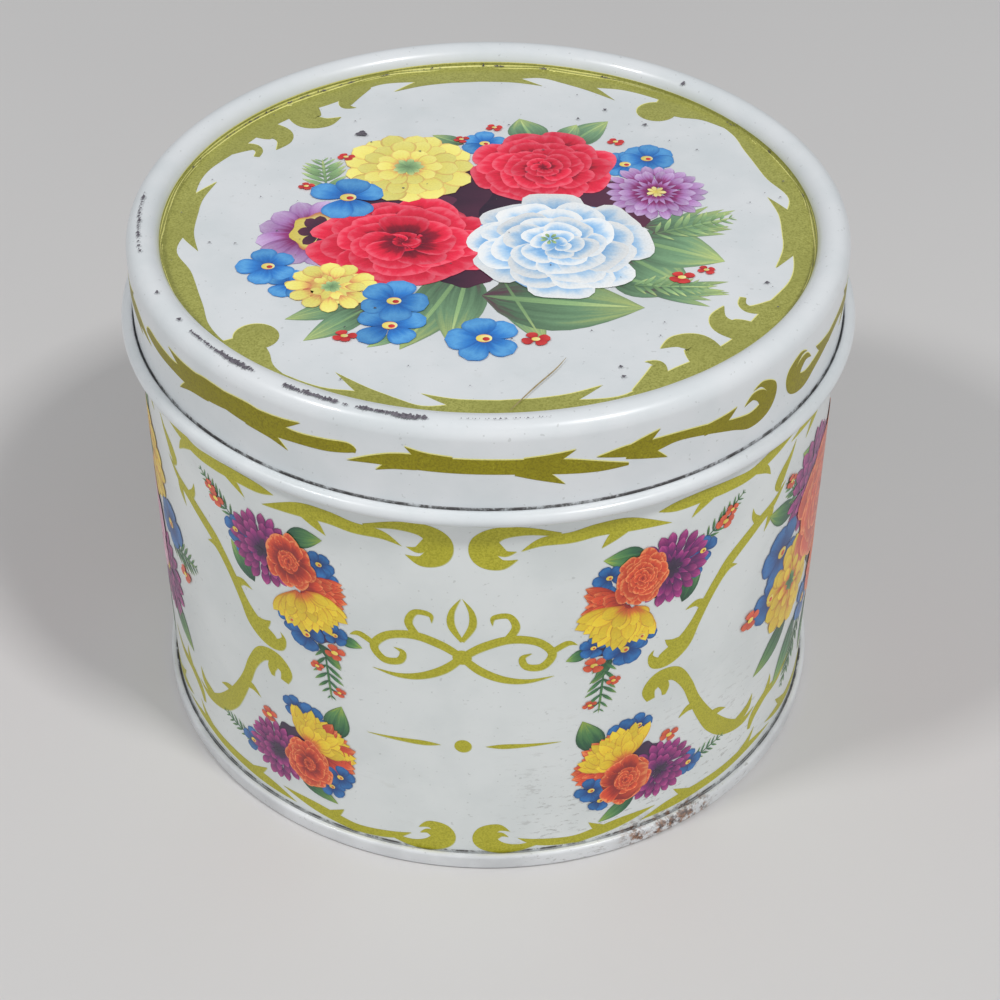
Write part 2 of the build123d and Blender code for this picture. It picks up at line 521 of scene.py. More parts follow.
@dataclass(frozen=True)
class Fibrous:
    """A matt or silky material made of fibres: board, paper, cloth, wadding, thread.

    Attributes:
        name: The material's name.
        light: Colour of the raised fibres.
        dark: Colour between them.
        size: Length of a fibre or rib, mm.
        pull: How far the fibres are drawn out along X, Y and Z.
        depth: Height of the fibres, mm.
        rough: Roughness of the surface.
        sheen: How softly the nap glows at its edges.
    """

    name: str
    light: Rgb
    dark: Rgb
    size: float = 1.0
    pull: tuple[float, float, float] = (1, 1, 1)
    depth: float = 0.08
    rough: float = 0.85
    sheen: float = 0.0

    def build(self) -> bpy.types.Material:
        """Makes the material.

        Returns:
            The material.
        """
        nodes = Nodes(self.name)
        fibre = nodes.noise(nodes.stretch(nodes.object_place, self.pull), self.size, 4, 0.7)
        drift = nodes.noise(nodes.object_place, 18 * self.size, 2)
        colour = nodes.mix(nodes.step(fibre, 0.3, 0.68), tint(self.dark), tint(self.light))
        colour = nodes.mix(nodes.times(drift, 0.3), colour, tint(self.dark))
        nodes.bump(fibre, self.depth, 0.7)
        rough = nodes.math("MULTIPLY_ADD", fibre, 0.1, self.rough - 0.05, clamp=True)
        return nodes.dress(Base_Color=colour, Roughness=rough, Sheen_Weight=self.sheen, Sheen_Roughness=0.4)


@dataclass(frozen=True)
class Ribbed:
    """Corded ribbon: fine ribs across its length, with a soft shine."""

    name: str
    light: Rgb
    dark: Rgb
    pitch: float = 0.55

    def build(self) -> bpy.types.Material:
        """Makes the material.

        Returns:
            The material.
        """
        nodes = Nodes(self.name)
        along, across, _ = nodes.split(nodes.object_place)
        turns = nodes.times(along, 2 * math.pi / (self.pitch * MM))
        rib = nodes.math("MULTIPLY_ADD", nodes.math("SINE", turns), 0.5, 0.5)
        thread = nodes.noise(nodes.stretch(nodes.object_place, (1, 6, 1)), 1.2, 3)
        colour = nodes.mix(rib, tint(self.dark), tint(self.light))
        colour = nodes.mix(nodes.times(thread, 0.35), colour, tint(self.dark))
        nodes.bump(rib, 0.12, 0.8)
        rough = nodes.math("MULTIPLY_ADD", thread, 0.15, 0.36)
        return nodes.dress(Base_Color=colour, Roughness=rough, Sheen_Weight=0.3)


@dataclass(frozen=True)
class Lump:
    """A plain solid substance with its own grain: powder, solder, sealing compound, bare steel."""

    name: str
    light: Rgb
    dark: Rgb
    size: float
    rough: float
    metal: float = 0.0
    depth: float = 0.1

    def build(self) -> bpy.types.Material:
        """Makes the material.

        Returns:
            The material.
        """
        nodes = Nodes(self.name)
        grain = nodes.noise(nodes.object_place, self.size, 5, 0.65)
        colour = nodes.mix(nodes.step(grain, 0.32, 0.68), tint(self.dark), tint(self.light))
        nodes.bump(grain, self.depth, 0.6)
        rough = nodes.math("MULTIPLY_ADD", grain, 0.12, self.rough - 0.06, clamp=True)
        return nodes.dress(Base_Color=colour, Metallic=self.metal, Roughness=rough)


# --- pieces ---


@dataclass(frozen=True)
class Ride:
    """Where a piece belongs: its body, a slot name that nothing reads, and the CAD nodes that it stands for."""

    body: str
    slot: str
    replaces: tuple[str, ...] = ()

    def settle(self, piece: bpy.types.Object) -> None:
        """Puts a piece on its body and reports it.

        Args:
            piece: The piece.
        """
        if self.replaces:
            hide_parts(*self.replaces)
        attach(piece, self.body)
        LOG.info("%s: %d faces on %s", piece.name, len(piece.data.polygons), self.body)


def piece_from(bm: bmesh.types.BMesh, name: str, *finishes: Finish) -> bpy.types.Object:
    """Turns a bmesh into a smooth-shaded object.

    Args:
        bm: The mesh, in metres; it is freed.
        name: The piece's name.
        finishes: Its materials, in slot order.

    Returns:
        The object, at the origin.
    """
    mesh = bpy.data.meshes.new(name)
    bm.to_mesh(mesh)
    bm.free()
    mesh.shade_smooth()
    for finish in finishes:
        mesh.materials.append(finish.build())
    piece = bpy.data.objects.new(name, mesh)
    bpy.context.scene.collection.objects.link(piece)
    return piece


def arc(centre: Point, radius: float, start: float, end: float, steps: int = 8) -> list[Point]:
    """Points along an arc in the plane of radius and height.

    Args:
        centre: Radius and height of the arc's centre.
        radius: The arc's own radius.
        start: First angle in degrees, 0 pointing outwards and 90 up.
        end: Last angle.
        steps: Number of pieces the arc is cut into.

    Returns:
        The points, both ends included.
    """
    angles = [math.radians(start + (end - start) * i / steps) for i in range(steps + 1)]
    return [(centre[0] + radius * math.cos(a), centre[1] + radius * math.sin(a)) for a in angles]


def spun(profile: Sequence[Point], outward: Vector, steps: int = SPIN_STEPS) -> bmesh.types.BMesh:
    """Spins a profile about the Z axis.

    Args:
        profile: Radius and height of each point, mm.
        outward: Direction in which the profile's first face has to look.
        steps: Steps of the full turn.

    Returns:
        The shell in metres, with no doubled points and its faces looking outwards.
    """
    bm = bmesh.new()
    dots = [bm.verts.new((radius * MM, 0, height * MM)) for radius, height in profile]
    lines = [bm.edges.new(pair) for pair in zip(dots, dots[1:])]
    bmesh.ops.spin(
        bm, geom=dots + lines, cent=(0, 0, 0), axis=(0, 0, 1), angle=2 * math.pi, steps=steps, use_merge=True
    )
    bmesh.ops.remove_doubles(bm, verts=bm.verts, dist=1e-6)
    bmesh.ops.recalc_face_normals(bm, faces=bm.faces)
    middle = (Vector((profile[0][0], 0, profile[0][1])) + Vector((profile[1][0], 0, profile[1][1]))) * MM / 2
    first = min(bm.faces, key=lambda face: (face.calc_center_median() - middle).length)
    if first.normal.dot(outward) < 0:
        bmesh.ops.reverse_faces(bm, faces=bm.faces)
    return bm


def thicken(piece: bpy.types.Object, thickness: float, inner_slot: int = 0) -> None:
    """Gives a shell its thickness about its middle surface.

    Args:
        piece: The shell.
        thickness: Sheet thickness, mm.
        inner_slot: Material slot of the inner side.
    """
    solid = piece.modifiers.new("sheet", "SOLIDIFY")
    solid.thickness = thickness * MM
    solid.offset = 0
    solid.material_offset = inner_slot


@dataclass
class LidShell:
    """The lid: a sunken panel, a half-round raised rim, a skirt and an outward curl."""

    body: str = "lid"
    panel_r: float = 50.5  # middle of the sheet where the rim's inner wall stands
    rim_r: float = 2.37  # middle of the sheet round the raised rim
    panel_drop: float = 3.2
    fold: float = 0.6
    curl_z: float = 73.0
    curl_r: float = 1.01
    curl_turn: float = 305.0

    def __post_init__(self) -> None:
        """Works the derived sizes out from the CAD parts."""
        self.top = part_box("lid_shell")[1].z / MM
        self.panel_z = self.top - self.panel_drop - SHEET / 2
        self.rim_centre = (self.panel_r + self.rim_r, self.top - SHEET / 2 - self.rim_r)
        self.skirt_r = self.panel_r + 2 * self.rim_r

    def build(self) -> None:
        """Builds the shell and dresses it."""
        fold_centre = (self.panel_r - self.fold, self.panel_z + self.fold)
        profile = [(0.0, self.panel_z), (24.0, self.panel_z), (44.0, self.panel_z)]
        profile += arc(fold_centre, self.fold, -90, 0, 6)
        profile += arc(self.rim_centre, self.rim_r, 180, 0, 28)
        for share in (0.25, 0.5, 0.75):
            profile.append((self.skirt_r, self.rim_centre[1] + (self.curl_z - self.rim_centre[1]) * share))
        profile += arc((self.skirt_r + self.curl_r, self.curl_z), self.curl_r, 180, 180 + self.curl_turn, 26)
        shell = piece_from(
            spun(profile, Vector((0, 0, 1))),
            "lid_cap",
            # the four numbers place the crevice line of painted shade and dirt
            Enamel("lid_enamel", (229, 232, 234), (219, 224, 226), (55.2, 55.52, 73.5, 74.22), soil=0.22),
            Enamel("lid_inside", (229, 232, 234), (219, 224, 226), (55.2, 55.52, 73.5, 74.22), soil=0.25),
        )
        thicken(shell, SHEET, 1)
        Ride(self.body, "lid_enamel", ("lid_shell",)).settle(shell)


@dataclass
class BodyShell:
    """The body wall with its folded top edge and the hook that the bottom seam holds."""

    body: str = "tin"
    outer_r: float = 55.0
    hem_gap: float = 0.22
    hem_length: float = 3.8
    hem_fold: float = 0.25
    hook_gap: float = 0.12
    seam_height: float = 2.9

    def build(self) -> None:
        """Builds the wall and dresses it."""
        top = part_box("body_wall")[1].z / MM - SHEET / 2
        wall = self.outer_r - SHEET / 2
        inner = wall - SHEET - self.hem_gap
        flange = SHEET * 1.5 + 0.06
        hook = wall + 2 * (SHEET + self.hook_gap)
        profile = [(inner, top - self.hem_length), (inner, top - self.hem_length / 2)]
        profile += arc((inner + self.hem_fold, top - self.hem_fold), self.hem_fold, 180, 0, 10)
        for height in (70.0, 50.0, 30.0, 10.0, 3.4):
            profile.append((wall, height))
        profile += arc((wall + 0.3, flange + 0.3), 0.3, 180, 270, 6)
        profile += arc((hook - 0.3, flange + 0.3), 0.3, 270, 360, 6)
        profile.append((hook, self.seam_height - 2.5 * SHEET))
        shell = piece_from(
            spun(profile, Vector((-1, 0, 0))),
            "body_sheet",
            # the four numbers place the crevice line of painted shade and dirt
            Enamel("body_enamel", (231, 235, 234), (222, 227, 226), (54.5, 55.4, 2.8, 3.08), -55.0, soil=0.3),
            Tinplate("body_inside"),
        )
        thicken(shell, SHEET, 1)
        Ride(self.body, "body_enamel", ("body_wall",)).settle(shell)


@dataclass
class BottomEnd:
    """The stamped bottom, rolled round the body's hook as a double seam."""

    body: str = "tin"
    wall_in: float = 54.72
    seaming_r: float = 56.06
    hook_r: float = 55.26
    seam_height: float = 2.9
    panel_z: float = 3.3
    raised: float = 0.6
    raised_r: float = 38.0

    def build(self) -> None:
        """Builds the end and dresses it."""
        half = SHEET / 2
        chuck = self.wall_in - half
        top = self.seam_height - half
        disc = self.panel_z + self.raised
        profile = [(0.0, disc), (18.0, disc), (self.raised_r - 0.6, disc)]
        profile += [(self.raised_r, disc - 0.06), (self.raised_r + 1, disc - 0.3)]
        profile += [(self.raised_r + 2, self.panel_z + 0.06), (self.raised_r + 2.6, self.panel_z)]
        profile += arc((chuck - 0.6, self.panel_z - 0.6), 0.6, 90, 0, 6)
        profile += arc((chuck + 0.45, half + 0.45), 0.45, 180, 270, 6)
        profile += arc((self.seaming_r - 0.45, half + 0.45), 0.45, 270, 360, 6)
        profile += arc((self.seaming_r - 0.38, top - 0.38), 0.38, 0, 90, 6)
        profile += arc((self.hook_r + 0.38, top - 0.38), 0.38, 90, 180, 6)
        profile.append((self.hook_r, 3.4 * SHEET))
        shell = piece_from(
            spun(profile, Vector((0, 0, -1))),
            "bottom_end_sheet",
            # the four numbers place the crevice line of painted shade and dirt
            Enamel("end_enamel", (228, 230, 232), (206, 208, 210), (55.0, 55.32, 2.4, 3.2), -55.0, soil=0.5),
            Tinplate("end_inside"),
        )
        thicken(shell, SHEET, 1)
        Ride(self.body, "end_enamel", ("bottom_end",)).settle(shell)


# --- printing ---


class Surface(Protocol):
    """A sheet that ink lies on."""

    def place(self, x: float, y: float, lift: float) -> Vector:
        """Gives the place of a design point, lift millimetres above the sheet, in metres."""


@dataclass(frozen=True)
class PanelTop:
    """The lid's panel; a design point past its flat climbs the fold and the rim's inner wall."""

    lid: LidShell
    turn: float = VIEW_TURN

    def place(self, x: float, y: float, lift: float) -> Vector:
        """Gives the place of a design point.

        Args:
            x: The point on the design.
            y: The same, up the design.
            lift: How far above the sheet, mm.

        Returns:
            The place, in metres.
        """
        lid = self.lid
        angle = math.atan2(y, x) + math.radians(self.turn)
        radius = math.hypot(x, y)
        height = lid.panel_z + SHEET / 2 + lift
        inside = lid.fold - SHEET / 2
        past = radius - (lid.panel_r - lid.fold)
        if past > 0:
            bend = min(past / inside, math.pi / 2)
            radius = lid.panel_r - lid.fold + (inside - lift) * math.sin(bend)
            height = lid.panel_z + lid.fold - (inside - lift) * math.cos(bend)
            climb = past - inside * math.pi / 2
            wall = lid.rim_centre[1] - lid.panel_z - lid.fold
            height += min(max(climb, 0), wall)
            if climb > wall:
                outer = lid.rim_r + SHEET / 2
                roll = (climb - wall) / outer
                radius = lid.rim_centre[0] - (outer + lift) * math.cos(roll)
                height = lid.rim_centre[1] + (outer + lift) * math.sin(roll)
        return Vector((radius * math.cos(angle), radius * math.sin(angle), height)) * MM


@dataclass(frozen=True)
class RoundWall:
    """A cylinder; design x runs round it from the front and design y is the height."""

    radius: float
    turn: float = 0.0

    def place(self, x: float, y: float, lift: float) -> Vector:
        """Gives the place of a design point, in metres.

        Args:
            x: Distance round the cylinder from the front, mm.
            y: Height, mm.
            lift: Distance above the sheet, mm.

        Returns:
            The place.
        """
        angle = x / self.radius + math.radians(self.turn)
        radius = self.radius + lift
        return Vector((radius * math.sin(angle), -radius * math.cos(angle), y)) * MM


def polar(degrees: float, radius: float) -> Point:
    """Gives the point at an angle from +X and a distance from the centre."""
    return radius * math.cos(math.radians(degrees)), radius * math.sin(math.radians(degrees))


def along(points: Sequence[Sequence[float]], share: float) -> list[float]:
    """Follows a smooth line through points.

    Args:
        points: Two or more points, each with any number of values.
        share: How far along, 0 to 1.

    Returns:
        The values there.
    """
    spans = len(points) - 1
    span = min(int(share * spans), spans - 1)
    t = share * spans - span
    before = points[max(span - 1, 0)]
    start, end = points[span], points[span + 1]
    after = points[min(span + 2, spans)]
    return [
        b + 0.5 * t * (c - a + t * (2 * a - 5 * b + 4 * c - d + t * (3 * (b - c) + d - a)))
        for a, b, c, d in zip(before, start, end, after)
    ]


class Ink:
    """One colour of ink on one surface, gathered in a single mesh of thin patches."""

    UV_NAME = "print"
    TONE_NAME = "tone"
    FILM = 0.012  # thickness of the dry ink

    def __init__(self, name: str, surface: Surface, finish: Finish, ride: Ride) -> None:
        """Starts an empty layer of ink.

        Args:
            name: The piece's name.
            surface: The sheet it lies on.
            finish: Its material.
            ride: Where the piece belongs.
        """
        self.name, self.surface, self.finish, self.ride = name, surface, finish, ride
        self.bm = bmesh.new()
        self.uv = self.bm.loops.layers.uv.new(self.UV_NAME)
        self.tone = self.bm.verts.layers.float.new(self.TONE_NAME)

    def patch(self, steps: Grid, shape: Shape, lift: float, tone: float = 0.5) -> None:
        """Lays one patch of ink.

        Args:
            steps: Faces along and across the patch.
            shape: Gives the design point of each share along and across.
            lift: Height above the sheet, mm.
            tone: Lightness of this patch, 0 to 1.
        """
        made = bmesh.ops.create_grid(self.bm, x_segments=steps[0], y_segments=steps[1], size=0.5)["verts"]
        shares = {vert: (vert.co.x + 0.5, vert.co.y + 0.5) for vert in made}
        faces = list({face for vert in made for face in vert.link_faces})
        for face in faces:
            for loop in face.loops:
                loop[self.uv].uv = shares[loop.vert]
        for vert, share in shares.items():
            vert[self.tone] = tone
            vert.co = self.surface.place(*shape(*share), lift)
        middle = shape(0.5, 0.5)
        up = self.surface.place(*middle, 1.0) - self.surface.place(*middle, 0.0)
        widest = max(faces, key=lambda face: face.calc_area())
        widest.normal_update()
        if widest.normal.dot(up) < 0:
            bmesh.ops.reverse_faces(self.bm, faces=faces)

    def finish_piece(self) -> None:
        """Closes the patches' points and settles the piece."""
        bmesh.ops.remove_doubles(self.bm, verts=self.bm.verts, dist=1e-8)
        piece = piece_from(self.bm, self.name, self.finish)
        piece.data.shade_flat()
        film = piece.modifiers.new("film", "SOLIDIFY")
        film.thickness = self.FILM * MM
        film.offset = -1
        self.ride.settle(piece)


class GoldWork:
    """Gold ornament over a pale yellow undercolour that shows along one side of it."""

    LIFT = 0.026  # lift of the lowest gold, mm
    UNDER_LIFT = 0.013  # lift of the lowest undercolour, mm
    STEP = 0.00035  # from one stroke to the next, mm
    CYCLE = 29  # strokes until the lifts start again

    def __init__(self, gold: Ink, under: Ink, shift: Point) -> None:
        """Keeps the two inks.

        Args:
            gold: The gold ink.
            under: The pale ink below it.
            shift: How far the undercolour lies off its place, mm.
        """
        self.gold, self.under, self.shift = gold, under, shift
        self.count = 0

    def lay(self, steps: Grid, shape: Shape) -> None:
        """Lays a patch in both inks.

        Args:
            steps: Faces along and across the patch.
            shape: Gives the design point of each share along and across.
        """

        def shifted(u: float, v: float) -> Point:
            """Gives the undercolour's point."""
            x, y = shape(u, v)
            return x + self.shift[0], y + self.shift[1]

        self.count += 1
        extra = self.STEP * (self.count % self.CYCLE)
        self.gold.patch(steps, shape, self.LIFT + extra)
        self.under.patch(steps, shifted, self.UNDER_LIFT + extra)

    def stroke(self, points: Sequence[Sequence[float]], steps_each: int = 7) -> None:
        """Draws a tapering stroke.

        Args:
            points: Each x, y and width that the stroke passes through.
            steps_each: Faces from one point to the next.
        """

        def shape(u: float, v: float) -> Point:
            """Gives a point of the stroke."""
            x, y, width = along(points, u)
            ahead, behind = along(points, min(u + 0.01, 1)), along(points, max(u - 0.01, 0))
            dx, dy = ahead[0] - behind[0], ahead[1] - behind[1]
            reach = math.hypot(dx, dy) or 1
            side = (v - 0.5) * max(width, 0)
            return x - dy / reach * side, y + dx / reach * side

        self.lay((steps_each * (len(points) - 1), 4), shape)

    def polar_stroke(self, *points: Sequence[float]) -> None:
        """Draws a stroke through points given as angle, radius and width."""
        self.stroke([(*polar(degrees, radius), width) for degrees, radius, width in points])

    def ball(self, x: float, y: float, radius: float, flat: float = 1.0) -> None:
        """Fills a round knob.

        Args:
            x: Its middle on the design.
            y: The same, up the design.
            radius: Half its width.
            flat: Its height as a share of its width.
        """

        def shape(u: float, v: float) -> Point:
            """Gives a point of the knob."""
            dx, dy = disc_point(u, v)
            return x + radius * dx, y + radius * flat * dy

        self.lay(DISC_GRID, shape)

    def done(self) -> None:
        """Finishes both inks."""
        self.under.finish_piece()
        self.gold.finish_piece()


DISC_GRID: Grid = (10, 10)  # faces of a round spot


def disc_point(u: float, v: float) -> Point:
    """Maps a unit square onto a disc of radius 1 about the origin."""
    a, b = 2 * u - 1, 2 * v - 1
    return a * math.sqrt(1 - b * b / 2), b * math.sqrt(1 - a * a / 2)


@dataclass(frozen=True)
class Mirror:
    """An upright line on the design, and the side of it that a motif falls on, 1 or -1."""

    centre: float
    side: int

    def at(self, x: float, y: float) -> Point:
        """Gives the point x millimetres out from the line, at height y."""
        return self.centre + self.side * x, y

    def aim(self, angle: float) -> float:
        """Turns a direction over for the left side."""
        return angle if self.side > 0 else 180 - angle

    def draw(self, gold: GoldWork, strokes: Sequence[Sequence[Sequence[float]]], steps_each: int = 8) -> None:
        """Draws strokes on this side.

        Args:
            gold: What draws them.
            strokes: Each stroke's points as x, y and width.
            steps_each: Faces from one point to the next.
        """
        for points in strokes:
            gold.stroke([(*self.at(x, y), width) for x, y, width in points], steps_each)


# --- flowers ---


class Pigment(Enum):
    """The flower colours."""

    SHADE = "shade"
    LEAF = "leaf"
    FERN = "fern"
    BLUE = "blue"
    PURPLE = "purple"
    YELLOW = "yellow"
    RED = "red"
    WHITE = "white"
    EYE = "eye"
    BERRY = "berry"


LID_PIGMENTS: dict[Pigment, PetalInk] = {
    Pigment.SHADE: PetalInk("lid_shade", ((0, (44, 24, 48)), (1, (96, 44, 70))), (60, 30, 54), 5, 0.2),
    Pigment.LEAF: PetalInk(
        "lid_leaf",
        ((0, (104, 72, 84)), (0.22, (92, 124, 96)), (0.6, (126, 166, 126)), (1, (190, 208, 130))),
        (104, 136, 106), 9, 0.5, 0.9,
    ),
    Pigment.FERN: PetalInk(
        "lid_fern", ((0, (110, 142, 100)), (0.6, (150, 188, 130)), (1, (214, 226, 150))), (120, 156, 112), 4, 0.3
    ),
    Pigment.BLUE: PetalInk(
        "lid_blue",
        ((0, (24, 84, 168)), (0.35, (46, 128, 208)), (0.7, (92, 168, 228)), (1, (72, 146, 214))),
        (34, 104, 184), 5, 0.55,
    ),
    Pigment.PURPLE: PetalInk(
        "lid_purple",
        ((0, (112, 18, 74)), (0.3, (150, 52, 120)), (0.55, (184, 132, 194)), (1, (214, 190, 228))),
        (146, 96, 162), 5, 0.5,
    ),
    Pigment.YELLOW: PetalInk(
        "lid_yellow",
        ((0, (222, 120, 90)), (0.2, (240, 190, 108)), (0.42, (250, 236, 120)), (1, (255, 246, 140))),
        (232, 176, 104), 6, 0.7,
    ),
    Pigment.RED: PetalInk(
        "lid_red",
        (
            (0, (112, 6, 40)), (0.38, (160, 8, 44)), (0.56, (226, 22, 58)), (0.8, (246, 38, 74)),
            (1, (254, 96, 118)),
        ),
        (140, 6, 46), 9, 0.7, 0.7,
    ),
    Pigment.WHITE: PetalInk(
        "lid_white",
        ((0, (116, 172, 230)), (0.48, (140, 192, 240)), (0.68, (188, 220, 248)), (0.84, (238, 245, 250)),
         (1, (250, 251, 250))),
        (150, 194, 236), 5, 0.75, 0.6,
    ),
    Pigment.EYE: PetalInk("lid_eye", ((0, (236, 214, 96)), (1, (250, 240, 170))), (206, 92, 78), 3, 0.8),
    Pigment.BERRY: PetalInk("lid_berry", ((0, (196, 30, 44)), (1, (228, 70, 66))), (190, 34, 44), 3, 0.5),
}

BODY_PIGMENTS: dict[Pigment, PetalInk] = {
    Pigment.SHADE: PetalInk("body_shade", ((0, (40, 26, 56)), (1, (70, 36, 78))), (40, 26, 56), 5, 0.2),
    Pigment.LEAF: PetalInk(
        "body_leaf",
        ((0, (28, 66, 52)), (0.35, (44, 104, 68)), (0.7, (96, 150, 84)), (1, (166, 190, 76))),
        (30, 76, 56), 8, 0.6, 0.8,
    ),
    Pigment.FERN: PetalInk(
        "body_fern", ((0, (34, 84, 58)), (0.6, (70, 130, 74)), (1, (140, 172, 84))), (36, 86, 58), 4, 0.3
    ),
    Pigment.BLUE: PetalInk(
        "body_blue",
        ((0, (14, 44, 104)), (0.35, (18, 84, 152)), (0.75, (40, 118, 186)), (1, (24, 92, 160))),
        (12, 56, 120), 5, 0.6,
    ),
    Pigment.PURPLE: PetalInk(
        "body_purple",
        ((0, (66, 14, 84)), (0.42, (108, 18, 100)), (0.75, (160, 36, 124)), (1, (196, 84, 150))),
        (84, 14, 88), 6, 0.7,
    ),
    Pigment.YELLOW: PetalInk(
        "body_yellow",
        ((0, (208, 70, 42)), (0.24, (228, 122, 44)), (0.5, (240, 196, 34)), (1, (250, 220, 56))),
        (206, 128, 40), 6, 0.7,
    ),
    Pigment.RED: PetalInk(
        "body_red",
        (
            (0, (140, 30, 30)), (0.38, (176, 42, 30)), (0.62, (214, 66, 36)), (0.86, (230, 86, 46)),
            (1, (250, 150, 90)),
        ),
        (150, 34, 30), 9, 0.7, 0.7,
    ),
    Pigment.WHITE: PetalInk(
        "body_pink",
        ((0, (166, 58, 112)), (0.4, (206, 104, 150)), (0.8, (226, 158, 188)), (1, (238, 196, 210))),
        (170, 70, 120), 8, 0.5, 0.6,
    ),
    Pigment.EYE: PetalInk("body_eye", ((0, (240, 206, 60)), (1, (250, 230, 120))), (206, 110, 60), 3, 0.8),
    Pigment.BERRY: PetalInk("body_berry", ((0, (206, 60, 44)), (1, (232, 104, 60))), (180, 44, 36), 3, 0.5),
}


class Painter:
    """Paints flowers and leaves with a set of inks on one surface.

    Every patch has a level among the flowers; a higher one lies on top.
    """

    BASE = 0.045  # lift of the lowest flowers, mm
    LEVEL = 0.03  # from one level of flowers to the next, mm
    STEP = 0.0003  # from one petal to the next, mm
    CYCLE = 97  # petals until the lifts start again
    PETAL_GRID: Grid = (9, 5)
    CRESCENT_GRID: Grid = (4, 12)
    ROSE_ROWS = (  # petals, inner and outer radius as shares of the rose's, spread in degrees
        (8, 0.5, 1.0, 64), (8, 0.42, 0.88, 70), (7, 0.32, 0.73, 82), (7, 0.22, 0.57, 92),
        (5, 0.13, 0.42, 112), (4, 0.05, 0.28, 140), (3, 0.0, 0.15, 170),
    )

    def __init__(self, prefix: str, surface: Surface, pigments: dict[Pigment, PetalInk], ride: Ride) -> None:
        """Starts one ink for each pigment.

        Args:
            prefix: First part of the pieces' names.
            surface: The sheet to paint on.
            pigments: The finish of each pigment.
            ride: Where the pieces belong.
        """
        self.inks = {key: Ink(f"{prefix}_{key.value}", surface, finish, ride) for key, finish in pigments.items()}
        self.dice = random.Random(len(prefix) + 40)
        self.count = 0

    def lift(self, level: float) -> float:
        """Gives the height of the next patch on a level."""
        self.count += 1
        return self.BASE + self.LEVEL * level + self.STEP * (self.count % self.CYCLE)

    def patch(self, pigment: Pigment, steps: Grid, level: float, shape: Shape) -> None:
        """Lays one patch with a random tone."""
        self.inks[pigment].patch(steps, shape, self.lift(level), self.dice.random())

    def petal(
        self, pigment: Pigment, root: Point, angle: float, length: float, width: float, level: float,
        blunt: float = 0.6, belly: float = 1.5, squash: Point = (1, 1), bend: float = 0.0,
    ) -> None:
        """Lays a petal or a leaf.

        Args:
            pigment: Its ink.
            root: Where it starts.
            angle: Its direction, degrees from +X.
            length: From root to tip.
            width: Its greatest width.
            level: Its level.
            blunt: Under 1 rounds the ends off, over 1 makes them pointed.
            belly: Above 1 the petal is widest towards its tip.
            squash: Scale of the design along x and y about the root's flower.
            bend: Sideways curve of the middle line, as a share of the length.
        """
        turn = Matrix.Rotation(math.radians(angle), 2)

        def shape(u: float, v: float) -> Point:
            """Gives a point of the petal."""
            half = width / 2 * math.sin(math.pi * u**belly) ** blunt if 0 < u < 1 else 0.0
            place = turn @ Vector((length * u, half * (2 * v - 1) + bend * length * math.sin(math.pi * u / 2)))
            return root[0] + place.x * squash[0], root[1] + place.y * squash[1]

        self.patch(pigment, self.PETAL_GRID, level, shape)

    def ring(
        self, pigment: Pigment, centre: Point, count: int, inner: float, outer: float, width: float,
        level: float, squash: Point = (1, 1), blunt: float = 0.6, start: float = 0.0, sweep: float = 360.0,
    ) -> None:
        """Lays petals round a centre.

        Args:
            pigment: Their ink.
            centre: The flower's centre.
            count: How many petals.
            inner: Radius of their roots.
            outer: Radius of their tips.
            width: Width of a petal.
            level: Its level.
            squash: Scale of the flower along x and y.
            blunt: Under 1 rounds the petals, over 1 makes them pointed.
            start: Direction of the first petal.
            sweep: Angle that they fill.
        """
        order = list(range(count))
        self.dice.shuffle(order)
        for index in order:
            angle = start + sweep * (index + self.dice.uniform(-0.18, 0.18)) / count
            reach = (outer - inner) * self.dice.uniform(0.88, 1.04)
            x, y = polar(angle, inner)
            root = (centre[0] + x * squash[0], centre[1] + y * squash[1])
            wide = width * self.dice.uniform(0.88, 1.12)
            self.petal(pigment, root, angle, reach, wide, level, blunt, 1.5, squash)

    def disc(self, pigment: Pigment, centre: Point, radius: Point, level: float, ripple: float = 0.0) -> None:
        """Fills a round spot.

        Args:
            pigment: Its ink.
            centre: Its middle.
            radius: Half its width and half its height.
            level: Its level.
            ripple: How deep its edge is rippled, as a share of its radius.
        """
        phase = self.dice.uniform(0, 6)

        def shape(u: float, v: float) -> Point:
            """Gives a point of the spot."""
            x, y = disc_point(u, v)
            swell = 1 + ripple * math.sin(7 * math.atan2(y, x) + phase) * math.hypot(x, y)
            return centre[0] + radius[0] * x * swell, centre[1] + radius[1] * y * swell

        self.patch(pigment, DISC_GRID, level, shape)

    def rose(self, pigment: Pigment, centre: Point, radius: Point, level: float, turn: float = 0.0) -> None:
        """Paints a full rose of overlapping crescent petals.

        Args:
            pigment: Its ink.
            centre: Its centre.
            radius: Half its width and half its height.
            level: Its level.
            turn: Direction of its first petal.
        """
        self.disc(pigment, centre, (radius[0] * 0.86, radius[1] * 0.86), level, 0.05)
        for row, (count, inner, outer, spread) in enumerate(self.ROSE_ROWS):
            for index in range(count):
                middle = turn + row * 23 + 360 * (index + self.dice.uniform(-0.2, 0.2)) / count
                far = outer * self.dice.uniform(0.92, 1.05)
                near = inner * self.dice.uniform(0.85, 1.1)
                wave = self.dice.uniform(0, 6)
                lean = self.dice.uniform(0.05, 0.4)

                def shape(u: float, v: float) -> Point:
                    """Gives a point of the crescent."""
                    side = 2 * v - 1
                    edge = near + (far - near) * (1 - side**4) * (1 + 0.05 * math.sin(9 * v + wave))
                    reach = near + (edge - near) * u + lean * side * 0.3 * u
                    x, y = polar(middle + side * spread / 2, reach)
                    return centre[0] + x * radius[0], centre[1] + y * radius[1]

                self.patch(pigment, self.CRESCENT_GRID, level + 0.25 + row * 0.2, shape)

